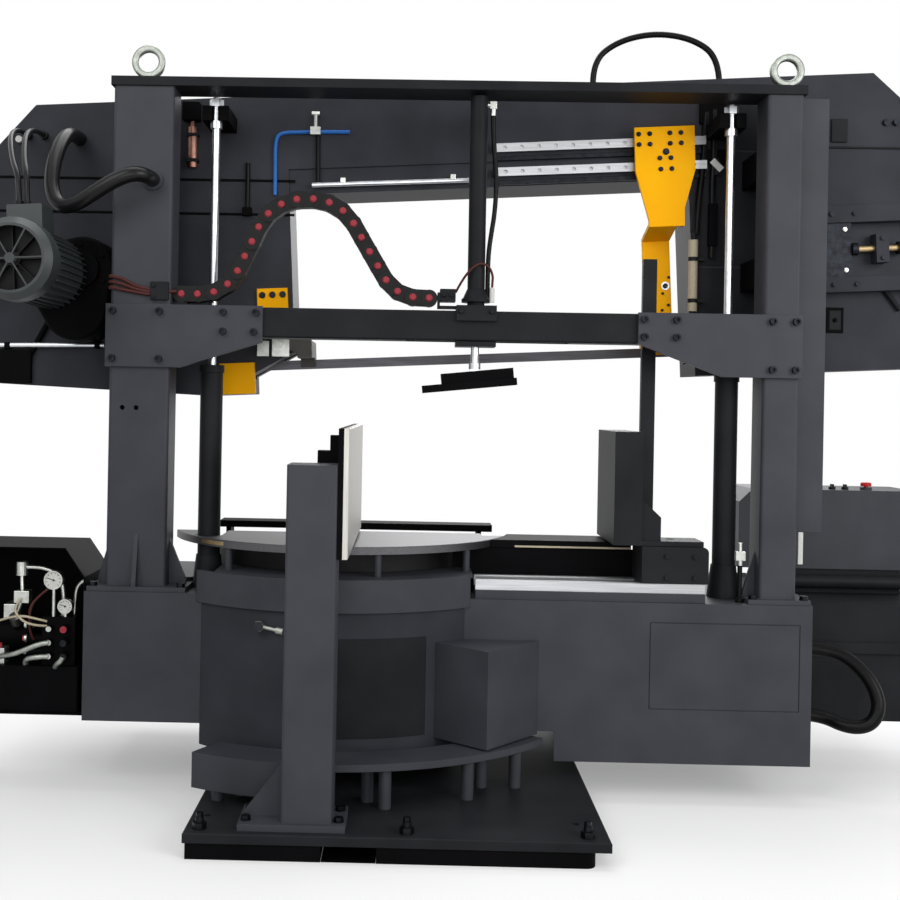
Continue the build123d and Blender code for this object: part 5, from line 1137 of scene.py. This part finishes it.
group(
    "manifold_plugs",
    "saw_bed",
    black_oxide,
    bars=[through(PORT_X, z, PORT_FACE, PORT_END, 11) for z in PORT_HEIGHTS[:2]],
)
pipe("steel_pipes", "saw_bed", zinc, [
    [(-905, -400, 565), (-905, -400, 640), (-925, -400, 700), (-1000, -398, 722), (-1050, -395, 715)],
    [(-1050, -395, 700), (-1048, -398, 660), (-1046, -400, 630)],
    [(-1046, -400, 610), (-1060, -395, 570), (-1079, -365, 540)],
    [(-875, -380, 555), (-875, -380, 620), (-860, -380, 672), (-822, -380, 680)],
], radius=7)
pipe("unit_hoses", "saw_bed", galvanised, [
    [(-935, -470, 480), (-960, -476, 478), (-1010, -476, 456), (-1060, -470, 436),
     (-1110, -438, 425)],
    [(-935, -470, 435), (-965, -475, 434), (-1000, -470, 428), (-1016, -455, 415),
     (-1016, -446, 398)],
    [(-885, -476, 435), (-890, -476, 422), (-905, -470, 412), (-915, -455, 398)],
], radius=9)
pipe("unit_wires", "saw_bed", cable_red, [
    [(-1000, -418, 520 + rise), (-1012, -440, 556 + rise), (-1002, -448, 600), (-968, -444, 636),
     (-946, -436, 654)]
    for rise in (-40, 0)
], radius=4)
pipe("unit_leads", "saw_bed", beige_plastic, [
    [(-950, -442, 545), (-976, -462, 556), (-1020, -466, 566), (-1066, -456, 560), (-1120, -440, 540)],
    [(-950, -442, 530), (-980, -464, 534), (-1024, -468, 548), (-1060, -458, 590), (-1043, -420, 615)],
], radius=4)

# Back and ends: bed panels with screws, chip drawer, cabinet door and drain
PANEL_STARTS = (-660, -40, 580)
PANEL_LENGTH = 560
PANEL_FACE = BED_REAR + 3
group(
    "bed_panels",
    "saw_bed",
    beam_grey,
    boxes=[((x, BED_REAR, 330), (x + PANEL_LENGTH, PANEL_FACE, 590)) for x in PANEL_STARTS],
)
group(
    "panel_screws",
    "saw_bed",
    black_oxide,
    bars=[
        through(x + inset, z, PANEL_FACE, PANEL_FACE + 4, 7)
        for x in PANEL_STARTS
        for inset in (20, PANEL_LENGTH - 20)
        for z in (350, 570)
    ],
)
DRAWER_HANDLE_Y = BED_REAR + 30
DRAWER_HANDLE_Z = 440
group(
    "chip_drawer",
    "saw_bed",
    beam_grey,
    boxes=[((1620, BED_REAR, 250), (2080, BED_REAR + 4, 520))],
    bars=[across(DRAWER_HANDLE_Y, DRAWER_HANDLE_Z, 1760, 1940, 7)]
    + [through(x, DRAWER_HANDLE_Z, BED_REAR, DRAWER_HANDLE_Y, 6) for x in (1775, 1925)],
)
CABINET_END = -1300
CABINET_DOOR_FACE = -1304
DOOR_HANDLE_X = -1318
DOOR_HANDLE_Y = -440
DOOR_HINGE_Y = -190
HINGE_LENGTH = 50
group(
    "cabinet_door",
    "saw_bed",
    black_enamel,
    boxes=[((CABINET_DOOR_FACE, -468, 266), (CABINET_END, -187, 770))],
    bars=[upright(DOOR_HANDLE_X, DOOR_HANDLE_Y, 450, 560, 6)]
    + [across(DOOR_HANDLE_Y, z, DOOR_HANDLE_X, CABINET_END, 5) for z in (460, 550)]
    + [upright(CABINET_DOOR_FACE, DOOR_HINGE_Y, z, z + HINGE_LENGTH, 7) for z in (300, 640)],
)
group(
    "drain_valve",
    "saw_bed",
    brass,
    bars=[across(60, 230, 2140, 2166, 14), upright(2160, 60, 230, 205, 9)],
)

# Latches of the wheel doors
LATCH_TOP = 112
LATCH_HEIGHTS = (150, 560)
for body, u in (("left_door", -230), ("right_door", 1300)):
    group(
        f"{body}_latches",
        body,
        black_plastic,
        bars=[through(u, w, 98, LATCH_TOP, 17) for w in LATCH_HEIGHTS],
        boxes=[((u - 15, LATCH_TOP, w - 4), (u + 15, LATCH_TOP + 6, w + 4)) for w in LATCH_HEIGHTS],
        place=BOW,
    )


# Camera at the photograph's place: level, a little turned and rolled

LENS = 48
SENSOR = 36
IMAGE = 900
SIGHT_X = 391.4
SIGHT_Y = 405.1
CAMERA_PLACE = (0.243, -4.396, 1.282)
CAMERA_TURN = 0.94
CAMERA_ROLL = 1.06
camera_data = bpy.data.cameras.new("camera")
camera_data.lens = LENS
camera_data.sensor_width = SENSOR
camera_data.clip_end = 100
camera_data.shift_x = (IMAGE / 2 - SIGHT_X) / IMAGE
camera_data.shift_y = -(IMAGE / 2 - SIGHT_Y) / IMAGE
camera = bpy.data.objects.new("camera", camera_data)
camera.matrix_world = (
    Matrix.Translation(CAMERA_PLACE)
    @ Matrix.Rotation(radians(CAMERA_TURN), 4, "Z")
    @ Matrix.Rotation(radians(90), 4, "X")
    @ Matrix.Rotation(radians(CAMERA_ROLL), 4, "Z")
)
bpy.context.collection.objects.link(camera)
scene = bpy.context.scene
scene.camera = camera
scene.view_settings.view_transform = "Standard"


# Studio: white surroundings, a floor that only shows the shadow, and soft lamps

def soft_lamp(name, place, aim, size, power):
    """Square area lamp that looks at a point."""
    lamp = bpy.data.lights.new(name, "AREA")
    lamp.shape = "SQUARE"
    lamp.size = size
    lamp.energy = power
    made = bpy.data.objects.new(name, lamp)
    made.matrix_world = Matrix.Translation(place) @ (
        (Vector(aim) - Vector(place)).to_track_quat("-Z", "Y").to_matrix().to_4x4()
    )
    bpy.context.collection.objects.link(made)


AIM = (0.35, -0.3, 1.1)
soft_lamp("key_lamp", (-2.6, -4.6, 4.4), AIM, size=3.0, power=98)
soft_lamp("fill_lamp", (4.2, -4.2, 2.6), AIM, size=3.0, power=150)
soft_lamp("top_lamp", (0.3, 0.8, 5.2), AIM, size=4.0, power=150)
soft_lamp("front_lamp", (0.4, -6.5, 1.5), AIM, size=3.0, power=70)
soft_lamp("rear_lamp", (1.5, 5.0, 3.6), AIM, size=3.5, power=130)


def seen_directly(tree):
    """One where a ray comes from the camera, a mirror surface or glass."""
    rays = add_node(tree, "ShaderNodeLightPath")
    either = add_node(
        tree,
        "ShaderNodeMath",
        {"operation": "ADD"},
        {0: rays.outputs["Is Camera Ray"], 1: rays.outputs["Is Glossy Ray"]},
    )
    every = add_node(
        tree,
        "ShaderNodeMath",
        {"operation": "ADD", "use_clamp": True},
        {0: either.outputs["Value"], 1: rays.outputs["Is Transmission Ray"]},
    )
    return every.outputs["Value"]


AMBIENT = 0.42
world = bpy.data.worlds.new("studio_white")
world.use_nodes = True
tree = world.node_tree
level = add_node(
    tree,
    "ShaderNodeMapRange",
    inputs={"Value": seen_directly(tree), "To Min": AMBIENT, "To Max": 1.0},
)
tree.nodes["Background"].inputs["Color"].default_value = (1, 1, 1, 1)
tree.links.new(level.outputs["Result"], tree.nodes["Background"].inputs["Strength"])
scene.world = world

FLOOR_SIZE = 40
SHADOW_REACH = 3.2
SHADOW_SHARE = 0.72
floor_mesh = bmesh.new()
bmesh.ops.create_grid(floor_mesh, x_segments=1, y_segments=1, size=FLOOR_SIZE / 2)
mesh = bpy.data.meshes.new("studio_floor")
floor_mesh.to_mesh(mesh)
floor_mesh.free()
floor = bpy.data.objects.new("studio_floor", mesh)
bpy.context.collection.objects.link(floor)
paper = bpy.data.materials.new("white_paper_floor")
paper.use_nodes = True
tree = paper.node_tree
tree.nodes.remove(tree.nodes["Principled BSDF"])
PAPER_SEEN = 0.96
PAPER_BOUNCE = 0.15
tint = add_node(
    tree,
    "ShaderNodeMapRange",
    inputs={"Value": seen_directly(tree), "To Min": PAPER_BOUNCE, "To Max": PAPER_SEEN},
)
lit = add_node(tree, "ShaderNodeBsdfDiffuse", inputs={"Color": tint.outputs["Result"]})
white = add_node(tree, "ShaderNodeEmission", inputs={"Color": (1, 1, 1, 1), "Strength": 1.0})
place = add_node(tree, "ShaderNodeTexCoord").outputs["Object"]
reach = add_node(tree, "ShaderNodeVectorMath", {"operation": "LENGTH"}, {0: place})
near = add_node(
    tree,
    "ShaderNodeMapRange",
    {"interpolation_type": "SMOOTHSTEP"},
    {
        "Value": reach.outputs["Value"],
        "From Min": 0.5 * SHADOW_REACH,
        "From Max": SHADOW_REACH,
        "To Min": 1 - SHADOW_SHARE,
        "To Max": 1.0,
    },
)
share = add_node(
    tree, "ShaderNodeMath", {"operation": "MULTIPLY"}, {0: near.outputs["Result"], 1: seen_directly(tree)}
)
mix = add_node(
    tree,
    "ShaderNodeMixShader",
    inputs={0: share.outputs["Value"], 1: lit.outputs["BSDF"], 2: white.outputs["Emission"]},
)
tree.links.new(mix.outputs["Shader"], tree.nodes["Material Output"].inputs["Surface"])
floor.data.materials.append(paper)
